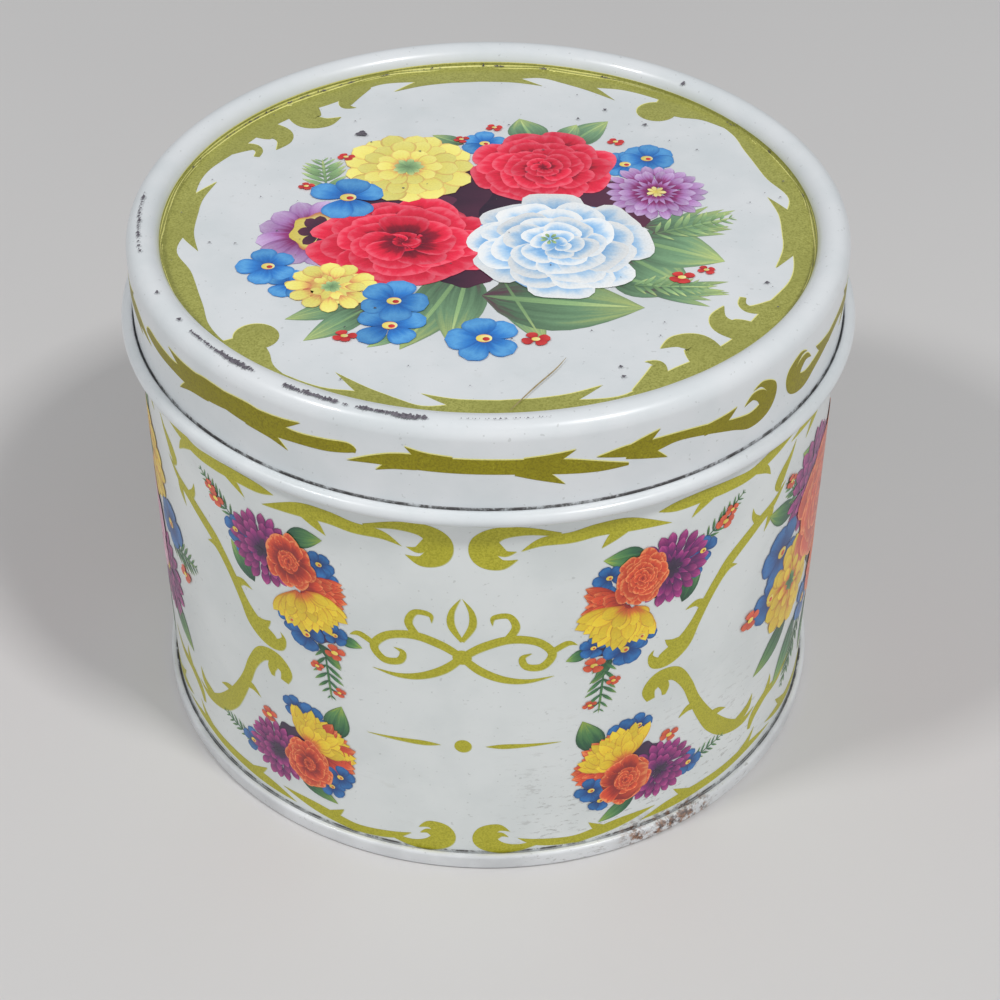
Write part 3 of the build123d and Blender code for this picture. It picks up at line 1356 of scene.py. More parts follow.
    def zinnia(self, centre: Point, radius: Point, level: float, count: int = 17) -> None:
        """Paints a round yellow flower with three rings of petals and a green eye.

        Args:
            centre: Its middle.
            radius: Half its width and half its height.
            level: Its level.
            count: How many petals its outer ring has.
        """
        size = radius[0]
        squash = (1.0, radius[1] / size)
        self.disc(Pigment.YELLOW, centre, (size * 0.6, radius[1] * 0.6), level, 0.05)
        for fewer, inner, outer, width, rise in (
            (0, 0.4, 1.0, 0.42, 0.05), (3, 0.28, 0.78, 0.36, 0.4), (7, 0.14, 0.52, 0.3, 0.8),
        ):
            self.ring(
                Pigment.YELLOW, centre, count - fewer, size * inner, size * outer, size * width,
                level + rise, squash, 0.5,
            )
        self.ring(Pigment.FERN, centre, 9, 0.0, size * 0.24, size * 0.12, level + 1.1, squash)

    def aster(self, centre: Point, size: float, level: float, count: int = 20, eye: bool = True) -> None:
        """Paints a purple flower with many narrow petals.

        Args:
            centre: Its middle.
            size: Its radius.
            level: Its level.
            count: How many petals its outer ring has.
            eye: Whether it has a yellow eye, or a dark heart.
        """
        for row, (inner, outer) in enumerate(((0.45, 1.0), (0.3, 0.78), (0.12, 0.52))):
            self.ring(
                Pigment.PURPLE, centre, count - 4 * row, size * inner, size * outer, size * 0.24,
                level + 0.35 * row, (1, 1), 0.75,
            )
        if eye:
            self.ring(Pigment.EYE, centre, 7, 0.0, size * 0.2, size * 0.1, level + 1.1)
        else:
            self.ring(Pigment.SHADE, centre, 9, 0.0, size * 0.3, size * 0.12, level + 1.1)

    def fan(
        self, pigment: Pigment, root: Point, size: float, start: float, sweep: float, level: float, count: int
    ) -> None:
        """Paints the part of a large flower that shows from behind another, as a fan of petals.

        Args:
            pigment: Its ink.
            root: Where the petals spread from.
            size: Length of the longest.
            start: Direction of the first petal.
            sweep: Angle that they fill.
            level: Its level.
            count: How many petals its longest row has.
        """
        for row, share in enumerate((1.0, 0.82, 0.58)):
            petals = count - 2 * row
            self.ring(
                pigment, root, petals, size * 0.12, size * share, size * 0.27, level + 0.3 * row,
                (1, 1), 0.7, start + row * 5, sweep,
            )

    def bluet(self, centre: Point, size: float, level: float, turn: float = 0.0, petals: int = 5) -> None:
        """Paints a small blue flower with a yellow eye.

        Args:
            centre: Its middle.
            size: Its radius.
            level: Its level.
            turn: Direction of its first petal.
            petals: How many it has.
        """
        self.ring(Pigment.BLUE, centre, petals, size * 0.08, size, size * 0.82, level, (1, 1), 0.45, turn)
        self.disc(Pigment.EYE, centre, (size * 0.2, size * 0.17), level + 0.9)
        pupil = (centre[0] + size * 0.05, centre[1] - size * 0.03)
        self.disc(Pigment.BERRY, pupil, (size * 0.09, size * 0.08), level + 1)

    def berry(self, centre: Point, size: float, level: float) -> None:
        """Paints a tiny red flower with four petals."""
        self.ring(Pigment.BERRY, centre, 4, size * 0.1, size, size * 0.85, level, (1, 0.8), 0.45, 20.0)
        self.disc(Pigment.EYE, centre, (size * 0.28, size * 0.22), level + 0.9)

    def leaf(
        self, root: Point, angle: float, length: float, width: float, level: float, bend: float = 0.1
    ) -> None:
        """Paints a pointed leaf."""
        self.petal(Pigment.LEAF, root, angle, length, width, level, 0.95, 0.8, (1, 1), bend)
        self.petal(Pigment.FERN, root, angle, length * 0.92, width * 0.09, level + 0.4, 0.8, 0.8, (1, 1), bend)

    def fern(self, root: Point, angle: float, length: float, width: float, level: float, pairs: int = 8) -> None:
        """Paints a fern: a stem with pairs of narrow leaflets that shorten to the tip.

        Args:
            root: Where its stem starts.
            angle: Its direction, degrees from +X.
            length: Length of the stem.
            width: Width across its longest pair.
            level: Its level.
            pairs: How many pairs of leaflets it has.
        """
        self.petal(Pigment.FERN, root, angle, length, width * 0.07, level, 0.5)
        for index in range(pairs):
            share = (index + 0.4) / pairs
            dx, dy = polar(angle, length * share)
            reach = width * 0.62 * math.sin(math.pi * (0.25 + 0.7 * share))
            for side in (-1, 1):
                lean = angle + side * self.dice.uniform(40, 54)
                stalk = (root[0] + dx, root[1] + dy)
                self.petal(Pigment.FERN, stalk, lean, reach, reach * 0.2, level + 0.3, 0.9, 0.9)

    def blades(self, root: Point, angle: float, sweep: float, length: float, count: int, level: float) -> None:
        """Paints a ragged tuft of narrow blades.

        Args:
            root: Where they spread from.
            angle: Direction of the middle one.
            sweep: Angle that they fill.
            length: About how long they are.
            count: How many there are.
            level: Their level.
        """
        for index in range(count):
            lean = angle + sweep * ((index + 0.5) / count - 0.5) + self.dice.uniform(-4, 4)
            reach = length * self.dice.uniform(0.7, 1.1)
            self.petal(Pigment.LEAF, root, lean, reach, length * 0.13, level, 0.9, 0.9, (1, 1), 0.06)

    def done(self) -> None:
        """Finishes every ink."""
        for ink in self.inks.values():
            ink.finish_piece()


@dataclass
class LidPrint:
    """The bouquet on the lid's panel, the gold border round it, and the skirt's gold band."""

    lid: LidShell
    border_outer: float = 51.0  # outer edge of the gold border, measured over the fold
    first_fold: float = 47.0  # from the front to the skirt band's first mirror line

    EDGE = (  # half of the border's inner edge: degrees and radius
        (-178, 45.9), (-171, 47.8), (-163, 46.3), (-153, 47), (-146, 48.5), (-138, 48.9), (-128, 48.4),
        (-119, 48), (-113, 46.7), (-107, 46.2), (-101, 47.2), (-95, 46), (-88, 45.1), (-80, 45.3),
        (-73, 46.9), (-67, 47.7), (-61, 46.5), (-55, 45.8), (-48, 46.2), (-40, 46.4), (-33, 46.2), (-27, 46.4),
        (-19, 47.5), (-12, 47.1), (-4, 45.6),
    )
    BARBS = (  # the barbs on that half: degrees, radius and width along each
        ((-185, 47.2, 4), (-177, 46.3, 2.2), (-170, 44.6, 0)),
        ((-2, 47.2, 4), (-9, 46.4, 2.2), (-16, 44.8, 0)),
        ((-101, 49.4, 2.4), (-106.5, 47.8, 3), (-112, 46.2, 1.9), (-119, 44.1, 0)),
        ((-86, 47.2, 4), (-95, 46, 2), (-102, 44.5, 0)),
        ((-84, 47.2, 4), (-76, 46, 2), (-69, 44.5, 0)),
        ((-64, 48.4, 3), (-59.5, 46, 3), (-57, 44, 2), (-57.8, 42.7, 0.6), (-58.6, 42.4, 0)),
        ((-50, 49, 5), (-48, 46, 5.6), (-46.8, 43.3, 4.6), (-49.3, 41.2, 2.8), (-53.4, 41, 0)),
        ((-37, 49, 5), (-38, 46, 5.2), (-38.6, 43.6, 4), (-36.8, 41.7, 2.4), (-32.8, 41, 0)),
        ((-26, 48.6, 3), (-29.5, 46.4, 2.6), (-31.2, 44.6, 1.8), (-30.4, 43.1, 1.2), (-28.2, 42.5, 0.9)),
    )
    BAND = (  # a quarter of the skirt's band: x out from its mirror line, height and width along each stroke
        ((32.2, 81.6, 0), (28, 81.6, 1.9), (24.5, 81.3, 2.4), (20, 81.6, 1.5), (15, 80.9, 1.7),
         (10, 79.5, 1.9), (6.4, 78.6, 2.8), (3.4, 79.6, 3.2), (2.4, 82, 2.2), (4.6, 83.9, 0.9),
         (6.6, 83.6, 0)),
        ((3.6, 79.8, 2), (4.6, 81.8, 2), (6.4, 82.6, 1.2), (8.2, 81.6, 0)),
        ((15.5, 80.8, 1.8), (12, 81.2, 1.6), (9.6, 82.4, 0)),
        ((27, 81.4, 2.4), (25, 82.6, 1.6), (22.8, 84, 0)),
        ((27.5, 81.4, 2.4), (24.5, 80.3, 1.8), (21.4, 78.6, 0)),
        ((27.4, 79.3, 0.4), (31.5, 79.9, 1.7), (36, 80.7, 2.5), (40, 81.2, 2.6), (45, 81.4, 2.5),
         (52, 81.5, 2.5), (58.4, 81.6, 2.5), (62.5, 81.1, 1.5), (66.8, 79.9, 0)),
        ((52, 81.8, 2.4), (55.6, 82.5, 1.8), (58.4, 84.1, 0)),
        ((57, 81.4, 2.3), (60, 80.7, 1.5), (62.6, 79.3, 0)),
        ((42, 81.6, 2.4), (38.5, 82.2, 1.8), (35, 83.5, 0)),
        ((43, 81, 2.4), (39.6, 79.6, 1.8), (36.4, 77.7, 0)),
        ((65.3, 81.8, 0.6), (66.6, 82.1, 1.7), (70, 81.6, 2), (75, 81.3, 2), (79.5, 81.6, 3.2),
         (83, 82, 3.8), (88, 82.2, 3)),
        ((82, 82, 3.2), (77.4, 82.8, 1.8), (73.6, 84.1, 0)),
        ((83, 81.4, 3), (79, 80.2, 1.6), (76, 78.4, 0)),
    )

    def build(self) -> None:
        """Prints the lid."""
        ride = Ride("lid", "lid_enamel")
        panel = PanelTop(self.lid)
        skirt = RoundWall(self.lid.skirt_r + SHEET / 2, VIEW_TURN)
        # lid, skirt and body gold are one ink; each copy's colour holds painted light for where it lies
        gold = GoldInk("lid_gold", (172, 172, 92), (146, 146, 72), (196, 196, 122))
        pale = GoldInk("pale_under", (238, 234, 152), (226, 222, 132), (244, 240, 176))
        under = Ink("lid_border_under", panel, pale, ride)
        border = GoldWork(Ink("lid_border_gold", panel, gold, ride), under, (-0.12, 0.16))
        self.edging(border)
        for half_turn in (0, 180):
            for barb in self.BARBS:
                border.polar_stroke(*[(degrees + half_turn, radius, width) for degrees, radius, width in barb])
        for degrees, neck in ((-138, 1), (51, -1)):
            self.knob(border, degrees, neck)
        border.done()
        # the skirt's copy of the gold ink, darkened as painted shade
        gold = GoldInk("skirt_gold_painted_shade", (152, 143, 14), (130, 120, 8), (178, 168, 46))
        under = Ink("skirt_band_under", skirt, pale, ride)
        band = GoldWork(Ink("skirt_band_gold", skirt, gold, ride), under, (-0.05, 0.2))
        quarter = self.lid.skirt_r * math.pi / 2
        for index in range(2):
            for side in (-1, 1):
                Mirror(self.first_fold + index * 2 * quarter, side).draw(band, self.BAND, 9)
        band.done()
        self.bouquet(Painter("lid_print", panel, LID_PIGMENTS, ride))

    def edging(self, gold: GoldWork) -> None:
        """Draws the border's plain band, from its wavy inner edge up the rim's inner wall.

        Args:
            gold: What draws it.
        """
        loop = [*self.EDGE, *((degrees + 180, radius) for degrees, radius in self.EDGE), (182, 45.9)]

        def shape(u: float, v: float) -> Point:
            """Gives a point of the band."""
            degrees, inner = along(loop, u)
            return polar(degrees, inner + (self.border_outer - inner) * v)

        gold.lay((360, 10), shape)

    @staticmethod
    def knob(gold: GoldWork, degrees: float, side: int) -> None:
        """Draws a round knob on a neck, joined to the border.

        Args:
            gold: What draws it.
            degrees: Where it is.
            side: Which way its neck leans, 1 or -1.
        """
        x, y = polar(degrees, 44.7)
        gold.ball(x, y, 3.3, 0.95)
        gold.polar_stroke((degrees, 44.2, 4.4), (degrees + side, 46.6, 5), (degrees + side, 49.4, 6.4))
        gold.polar_stroke(
            (degrees + side * 1.5, 45.6, 2), (degrees + side * 4.5, 47.4, 3.4),
            (degrees + side * 9, 48.9, 2.2), (degrees + side * 17, 49.6, 0.4),
        )

    @staticmethod
    def bouquet(paint: Painter) -> None:
        """Paints the bouquet, from the leaves below to the white rose on top.

        Args:
            paint: What paints it.
        """
        for x, y, angle, length, width, bend in (
            (-3.4, -12, 243, 23, 8.6, 0.06), (-3, -13, 262, 19, 8, 0), (2, -15, 290, 18, 6, 0),
            (-1, -19.6, -4, 24, 14.5, -0.06), (18, -14, -24, 12, 8, 0), (20, -8, -44, 14, 9, 0),
            (21, -4, -24, 16, 11, 0), (24, -1, 6, 11, 6, 0), (-18, -20.4, 200, 12.6, 4.8, 0.08),
            (-17, -22, 219, 13, 5, 0.08), (-12, -29, 214, 6.4, 2, 0), (7.8, 25, 104, 7.8, 6.6, 0.1),
            (13, 23.6, 42, 10.4, 5.6, 0.12), (12, 25, 64, 6, 4, 0), (-4, 24, 150, 6, 3, 0),
        ):
            paint.leaf((x, y), angle, length, width, 0, bend)
        paint.blades((25, -3), 18, 40, 14, 9, 0.3)
        paint.blades((23, -18.5), -8, 34, 13, 8, 0.3)
        paint.fern((-25.4, 9.4), 98, 10, 8, 0.2)
        paint.fern((25, -3), 20, 14, 7, 0.6, 9)
        paint.fern((21, -17), -2, 12, 6, 0.6, 9)
        for x, y, wide, high in ((-1, 5, 11, 12), (12, 4, 13, 11), (-3.4, -12, 5, 5.4), (-14, 6, 9, 4)):
            paint.disc(Pigment.SHADE, (x, y), (wide, high), 0.9, 0.05)
        paint.ring(Pigment.PURPLE, (-26.9, -2.6), 13, 2, 9.4, 4.2, 1, (1, 1), 0.5)
        paint.disc(Pigment.EYE, (-26.2, -2.4), (4.1, 5.2), 2.2, 0.08)
        paint.ring(Pigment.SHADE, (-25.6, -2.4), 8, 0.4, 3.8, 1.9, 2.5, (1, 1.3), 0.6)
        paint.bluet((25.6, 19.4), 4.8, 1.2, 30, 7)
        paint.bluet((22, 17.6), 4.6, 1, 70, 7)
        paint.bluet((-0.6, 24.2), 4.2, 1, 10)
        paint.aster((26.4, 9.2), 8.2, 1.6, 22)
        paint.rose(Pigment.RED, (8.8, 16.6), (11.6, 11), 2.4, 12)
        paint.rose(Pigment.RED, (-13, -5.2), (14.8, 12.6), 2.4, 70)
        paint.zinnia((-12.8, 16.6), (10.8, 10.8), 3.8)
        paint.bluet((-22, 7.4), 6.4, 4.2, 20)
        paint.bluet((-33, -12), 5, 2.6, 40)
        paint.bluet((-29.4, -16.6), 4, 2.4, 80)
        paint.zinnia((-23.2, -17.4), (7, 6.6), 3.4, 12)
        paint.bluet((-13.8, -21.2), 5.4, 4.4, 65)
        paint.bluet((-14.2, -27.4), 5.6, 4, 12)
        paint.bluet((-0.6, -30.6), 5.8, 4.2, 33)
        paint.rose(Pigment.WHITE, (10.4, -6.2), (14.2, 14.2), 4.6, 40)
        paint.ring(Pigment.FERN, (9.4, -4.6), 7, 0.3, 1.6, 0.6, 6.8)
        for x, y, size in (
            (-20.6, -30, 1.9), (6.8, -30.8, 2.2), (28.8, -15, 2.2), (32.6, -13, 1.5), (20.8, 24.6, 1.5),
            (-28.8, 10.8, 1.4), (1, 29.2, 1.5), (-23, 19.8, 1.5), (-4.4, 25.4, 1.4),
        ):
            paint.berry((x, y), size, 5)
        paint.done()


@dataclass
class BodyPrint:
    """The gold frames and the flowers round the body."""

    radius: float = 55.0

    # one side of a panel's frame: x out from the middle line, height and width along each stroke
    FRAME = (
        # top curl and the first band
        ((14, 68.4, 0.7), (9.5, 69.5, 1.3), (5.4, 69.3, 2.3), (3.2, 67.4, 3.8), (3.4, 64.9, 3.7),
         (5.6, 63.6, 2), (8, 64.4, 0)),
        ((4.2, 67.6, 2), (5.2, 66.3, 1.8), (6.3, 65.6, 1.1), (7.8, 65.9, 0)),
        ((8.4, 65.9, 0), (11.4, 67.4, 1.5), (15.7, 67.6, 2), (19.7, 68.2, 2.3), (24.4, 67.8, 2.4),
         (31, 65.8, 0)),
        ((23.4, 67.6, 2.2), (21.6, 66.2, 1.6), (20, 64.6, 0)),
        # second and third bands
        ((28.6, 68.6, 0), (31.6, 68.5, 1.7), (36.2, 68.4, 2.1), (41.4, 67.9, 2.1), (46, 67.6, 1.8),
         (52, 68.6, 1.9), (58, 69.2, 0)),
        ((38.4, 68.2, 1.9), (36.2, 66.8, 1.3), (34.4, 65.2, 0)),
        ((47, 67.8, 1.8), (49.4, 66.4, 1.4), (50.8, 64.6, 0)),
        ((56, 67.4, 0), (62, 68.3, 1.9), (70, 68.6, 2.3), (78, 68.4, 2.2), (86.6, 68.9, 1.6)),
        ((66, 68.2, 2), (63.5, 66.6, 1.4), (61.4, 64.6, 0)),
        ((75, 68.4, 2.2), (79, 67.2, 1.5), (82.4, 65.2, 0)),
        # drop between the bands and the side scroll
        ((57.8, 66.8, 0), (56.4, 64.6, 1), (54.6, 62.6, 2.1), (53.6, 60.9, 2.3), (53.9, 59.6, 0.6)),
        # side scroll, upper part
        ((55.6, 60.4, 0), (52.4, 57.9, 1.4), (48.4, 56.2, 2), (43.4, 53.2, 2.2), (40.8, 50.4, 1.9),
         (38.6, 47.2, 1.8), (36.6, 43.6, 2.1), (34.6, 40.6, 3.4), (32, 38.9, 3.6), (29.9, 38.6, 2.3),
         (28.9, 40.2, 0.9), (29.4, 41.4, 0)),
        ((34.6, 40.8, 2.6), (32.6, 41.4, 1.7), (31.2, 42.7, 0)),
        ((52, 57.8, 1.4), (51.8, 55.8, 1.3), (50.6, 53.6, 0)),
        ((49, 56.6, 1.8), (47.6, 58.4, 1), (47.2, 60.2, 0)),
        ((40.6, 50.2, 1.8), (42.6, 51.4, 1.2), (44.6, 51, 0)),
        ((38.2, 46.6, 1.8), (36.6, 47.6, 1.2), (34.6, 47.2, 0)),
        # side scroll, lower part
        ((29.4, 31, 1.4), (29, 33.2, 2.4), (30.8, 35, 2.9), (33.6, 34.6, 2.5), (36, 31.2, 2),
         (37.8, 26.8, 2), (40, 22.4, 2.6), (42.6, 18.4, 3.2), (46, 15.2, 2.9), (50.4, 13.4, 1.4),
         (53.4, 14.4, 0)),
        ((31, 34.4, 2), (31.8, 32.6, 1.6), (31.7, 31, 0.6)),
        ((38.4, 25.4, 1.8), (36.6, 25.4, 1.3), (34.9, 24.2, 0)),
        ((41.2, 20.6, 2.2), (43.2, 20.8, 1.3), (45.2, 20.2, 0)),
        ((48.4, 14.4, 2), (51.2, 15.6, 1.7), (52.4, 18, 0)),
        ((52.4, 9.8, 0.8), (53.6, 12.4, 2), (57, 14.2, 1.9), (61.4, 14.4, 1.4), (65.8, 16.4, 0)),
        ((56.6, 14, 1.7), (57.8, 16, 1.2), (58, 18, 0)),
        # bottom curl and bands
        ((12, 4.7, 0.9), (8.6, 3.7, 1.5), (5.6, 3.9, 2.6), (3.4, 5.4, 3.8), (3.4, 7.4, 3),
         (5.4, 8.5, 1.6), (7.2, 7.6, 0)),
        ((3.8, 5.6, 2), (4.8, 6.5, 1.6), (5.9, 6.9, 0.9), (7, 6.3, 0)),
        ((8.4, 5.9, 0), (11.6, 4.6, 1.4), (17.2, 4, 1.6), (21.4, 4.6, 2), (26, 5.4, 1.8),
         (31.6, 6.2, 0)),
        ((22.4, 4.8, 1.8), (21, 5.9, 1.2), (19.8, 7.2, 0)),
        ((20.4, 4.4, 1.6), (18.4, 3.6, 1), (16.6, 3.3, 0)),
        ((29, 4, 0), (33.4, 4.8, 1.7), (37.2, 5.1, 2.1), (41.2, 5.2, 1.9), (46.4, 5.3, 1.8),
         (52.4, 5.6, 1.6), (60, 5, 0)),
        ((38.4, 5.2, 1.8), (36.6, 6.5, 1.2), (35, 8, 0)),
        ((50, 5.6, 1.6), (52.6, 7, 1.2), (54.2, 9, 0)),
        ((58, 6.6, 0), (63, 5.6, 1.6), (70, 5, 2.1), (78, 5.2, 2), (86.6, 4.8, 1.4)),
        ((66, 5.4, 1.8), (63.6, 7, 1.2), (61.8, 8.8, 0)),
    )
    SCROLL = (  # one side of the plain scroll and the rule on the front
        ((0, 45.4, 1.2), (3, 47.6, 1.5), (7, 49, 1.5), (11, 48.2, 1.4), (13.2, 45.6, 1.3),
         (11.8, 43.2, 1.3), (9.4, 43.4, 1.2), (8.8, 45.2, 0.9), (10.2, 46, 0)),
        ((0, 45.4, 1.2), (2.6, 42.8, 1.5), (6, 41, 1.3), (9.6, 40.4, 0.8), (13.6, 41, 0)),
        ((6.6, 49, 1.2), (7.8, 51.4, 1.2), (6.8, 53.6, 1), (4.6, 53.4, 0.8), (4.4, 51.8, 0)),
        ((0, 48.6, 0.6), (1.5, 51.6, 1.1), (1.4, 54.4, 0.8), (0.1, 57, 0)),
        ((13, 45.8, 1), (15.4, 47.2, 1), (17, 46.6, 0)),
        ((3.4, 26.8, 0), (6, 26.8, 0.9), (10, 26.8, 0.6), (15, 26.8, 0)),
    )

    def build(self) -> None:
        """Prints the body."""
        ride = Ride("tin", "body_enamel")
        wall = RoundWall(self.radius)
        # the body's copy of the gold ink, its lightness painted for the light on the body
        gold = GoldInk("body_gold", (194, 188, 58), (170, 164, 44), (214, 208, 96))
        pale = GoldInk("body_under", (206, 208, 150), (196, 200, 138), (216, 216, 168))
        under = Ink("body_gold_under", wall, pale, ride)
        work = GoldWork(Ink("body_gold_frame", wall, gold, ride), under, (0.1, -0.12))
        paint = Painter("body_print", wall, BODY_PIGMENTS, ride)
        panel = self.radius * math.pi  # from the front's centre line to the back's
        for centre in (0, panel):
            for side in (-1, 1):
                mirror = Mirror(centre, side)
                mirror.draw(work, self.FRAME)
                self.spray(paint, mirror)
                self.cluster(paint, mirror)
            self.bouquet(paint, centre + panel / 2)
        for side in (-1, 1):
            Mirror(0, side).draw(work, self.SCROLL)
        work.ball(0, 26.8, 1.3)
        work.ball(0, 45.4, 1.4)
        work.done()
        paint.done()

    @staticmethod
    def spray(paint: Painter, mirror: Mirror) -> None:
        """Paints the hanging spray on one side of a panel.

        Args:
            paint: What paints it.
            mirror: The panel's middle line, and the side.
        """
        at, aim = mirror.at, mirror.aim
        paint.fern(at(36.4, 59), aim(36), 10.5, 4, 0, 9)
        paint.leaf(at(27, 61.6), aim(170), 6.6, 3.8, 0.4)
        paint.leaf(at(28, 50), aim(250), 5, 2.6, 0.2)
        paint.leaf(at(33.8, 49.2), aim(58), 7.4, 3.2, 0.3)
        paint.leaf(at(18.8, 45), aim(196), 3.8, 2.2, 0.5)
        paint.disc(Pigment.SHADE, at(28.6, 56.6), (3.6, 4.2), 0.6, 0.1)
        paint.disc(Pigment.SHADE, at(22.6, 45), (3.4, 2.2), 0.6, 0.1)
        paint.bluet(at(37, 57.8), 2.8, 1.2, aim(80))
        paint.bluet(at(35.4, 55.4), 2.5, 1.1, aim(20))
        paint.aster(at(31.4, 57), 7, 1.6, 20, False)
        paint.bluet(at(21.4, 58.6), 2.6, 1.2, aim(50))
        paint.bluet(at(20.4, 55.8), 2.4, 1.1, aim(15))
        paint.fan(Pigment.RED, at(25, 53.4), 8, min(aim(150), aim(260)), 110, 1.6, 12)
        paint.fan(Pigment.YELLOW, at(25, 52.8), 9, min(aim(192), aim(306)), 114, 2.3, 13)
        paint.rose(Pigment.RED, at(26.6, 57), (4.5, 5.2), 3.4, 30)
        paint.bluet(at(24.4, 43.6), 3.5, 2, aim(30))
        paint.bluet(at(27, 45.4), 2.8, 1.8, aim(70))
        paint.bluet(at(19.4, 45.4), 2.3, 1.6, aim(10))
        paint.fern(at(21.4, 42.4), aim(266), 11, 5.4, 1, 7)
        paint.leaf(at(22.4, 42.6), aim(232), 5.4, 1.8, 1)
        for x, y, size in (
            (41, 61.4, 1.9), (42.2, 63, 1.4), (19.6, 41.8, 2), (22.8, 37.8, 1.3), (19.2, 33.6, 1.2),
        ):
            paint.berry(at(x, y), size, 3)

    @staticmethod
    def cluster(paint: Painter, mirror: Mirror) -> None:
        """Paints the nosegay in a lower corner of a panel.

        Args:
            paint: What paints it.
            mirror: The panel's middle line, and the side.
        """
        at, aim = mirror.at, mirror.aim
        paint.fern(at(37.6, 12.6), aim(12), 8, 3.4, 0, 7)
        paint.leaf(at(20.8, 23), aim(106), 7.8, 4.6, 0.3, 0.06)
        paint.leaf(at(27.6, 10.8), aim(208), 7.4, 2.8, 0.3)
        paint.disc(Pigment.SHADE, at(28.6, 18.6), (3.4, 3.2), 0.6, 0.1)
        paint.bluet(at(24.8, 25.6), 3, 1, aim(60))
        paint.bluet(at(27.6, 26.4), 2.6, 0.9, aim(20))
        paint.bluet(at(37.6, 12.8), 2.7, 1, aim(80))
        paint.aster(at(31.8, 14.4), 6.4, 1.4, 20, False)
        paint.fan(Pigment.RED, at(24.8, 19), 8, min(aim(110), aim(216)), 106, 1.8, 12)
        paint.fan(Pigment.YELLOW, at(25.4, 18.8), 8.4, min(aim(60), aim(180)), 120, 2.4, 13)
        paint.bluet(at(20, 14.6), 2.8, 2.2, aim(30))
        paint.bluet(at(21.6, 11.8), 2.6, 2.1, aim(5))
        paint.rose(Pigment.RED, at(25.8, 15), (4.6, 5.2), 3.4, 75)
        paint.berry(at(33.2, 21.6), 1.9, 2.6)

    @staticmethod
    def bouquet(paint: Painter, x: float) -> None:
        """Paints the large bouquet on a flank.

        Args:
            paint: What paints it.
            x: Its middle on the design.
        """

        def at(dx: float, y: float) -> Point:
            """Gives a point of the bouquet, drawn a little wider."""
            return x + dx * 1.2, y

        for dx, y, angle, length, width in (
            (-20, 28, 205, 12, 4.6), (-16, 24, 226, 13, 4.6), (-8, 20, 250, 11, 5), (10, 20, 290, 11, 5),
            (18, 26, 320, 12, 5), (-14, 56, 140, 10, 5), (12, 57, 50, 10, 5), (0, 60, 84, 8, 6),
            (-22, 52, 150, 9, 4.4),
        ):
            paint.leaf(at(dx, y), angle, length, width, 0)
        paint.fern(at(-13, 22), 238, 14, 6, 0.4, 9)
        paint.fern(at(22, 40), 8, 11, 6, 0.4, 8)
        paint.fern(at(-20, 52), 128, 10, 5, 0.4, 8)
        paint.disc(Pigment.SHADE, at(0, 40), (17, 16), 0.7, 0.04)
        paint.aster(at(-16, 53), 9.6, 1.4, 20)
        paint.aster(at(17, 30), 9.2, 1.4, 20)
        paint.bluet(at(-24.5, 45), 6, 1.8, 40)
        paint.bluet(at(-26.5, 37), 5, 1.8, 10)
        paint.bluet(at(-13, 24.5), 4.6, 1.8, 60)
        paint.bluet(at(23, 44), 5, 1.8, 70)
        paint.bluet(at(8, 21), 4.6, 1.8, 22)
        paint.zinnia(at(-20.5, 35.5), (8.6, 9.2), 2.4, 13)
        paint.zinnia(at(14, 52), (10, 9), 2.2, 15)
        paint.rose(Pigment.RED, at(-9, 45), (14, 13), 3.2, 20)
        paint.rose(Pigment.WHITE, at(9, 36), (12, 11), 4.4, 60)
        paint.rose(Pigment.RED, at(-4, 27.6), (9.2, 8), 3.6, 110)
        for dx, y, size in ((-31, 36.5, 2.4), (-24, 59, 1.7), (27, 37, 2), (6, 62, 1.7), (-2, 14.6, 1.8)):
            paint.berry(at(dx, y), size, 5)


# --- wear ---


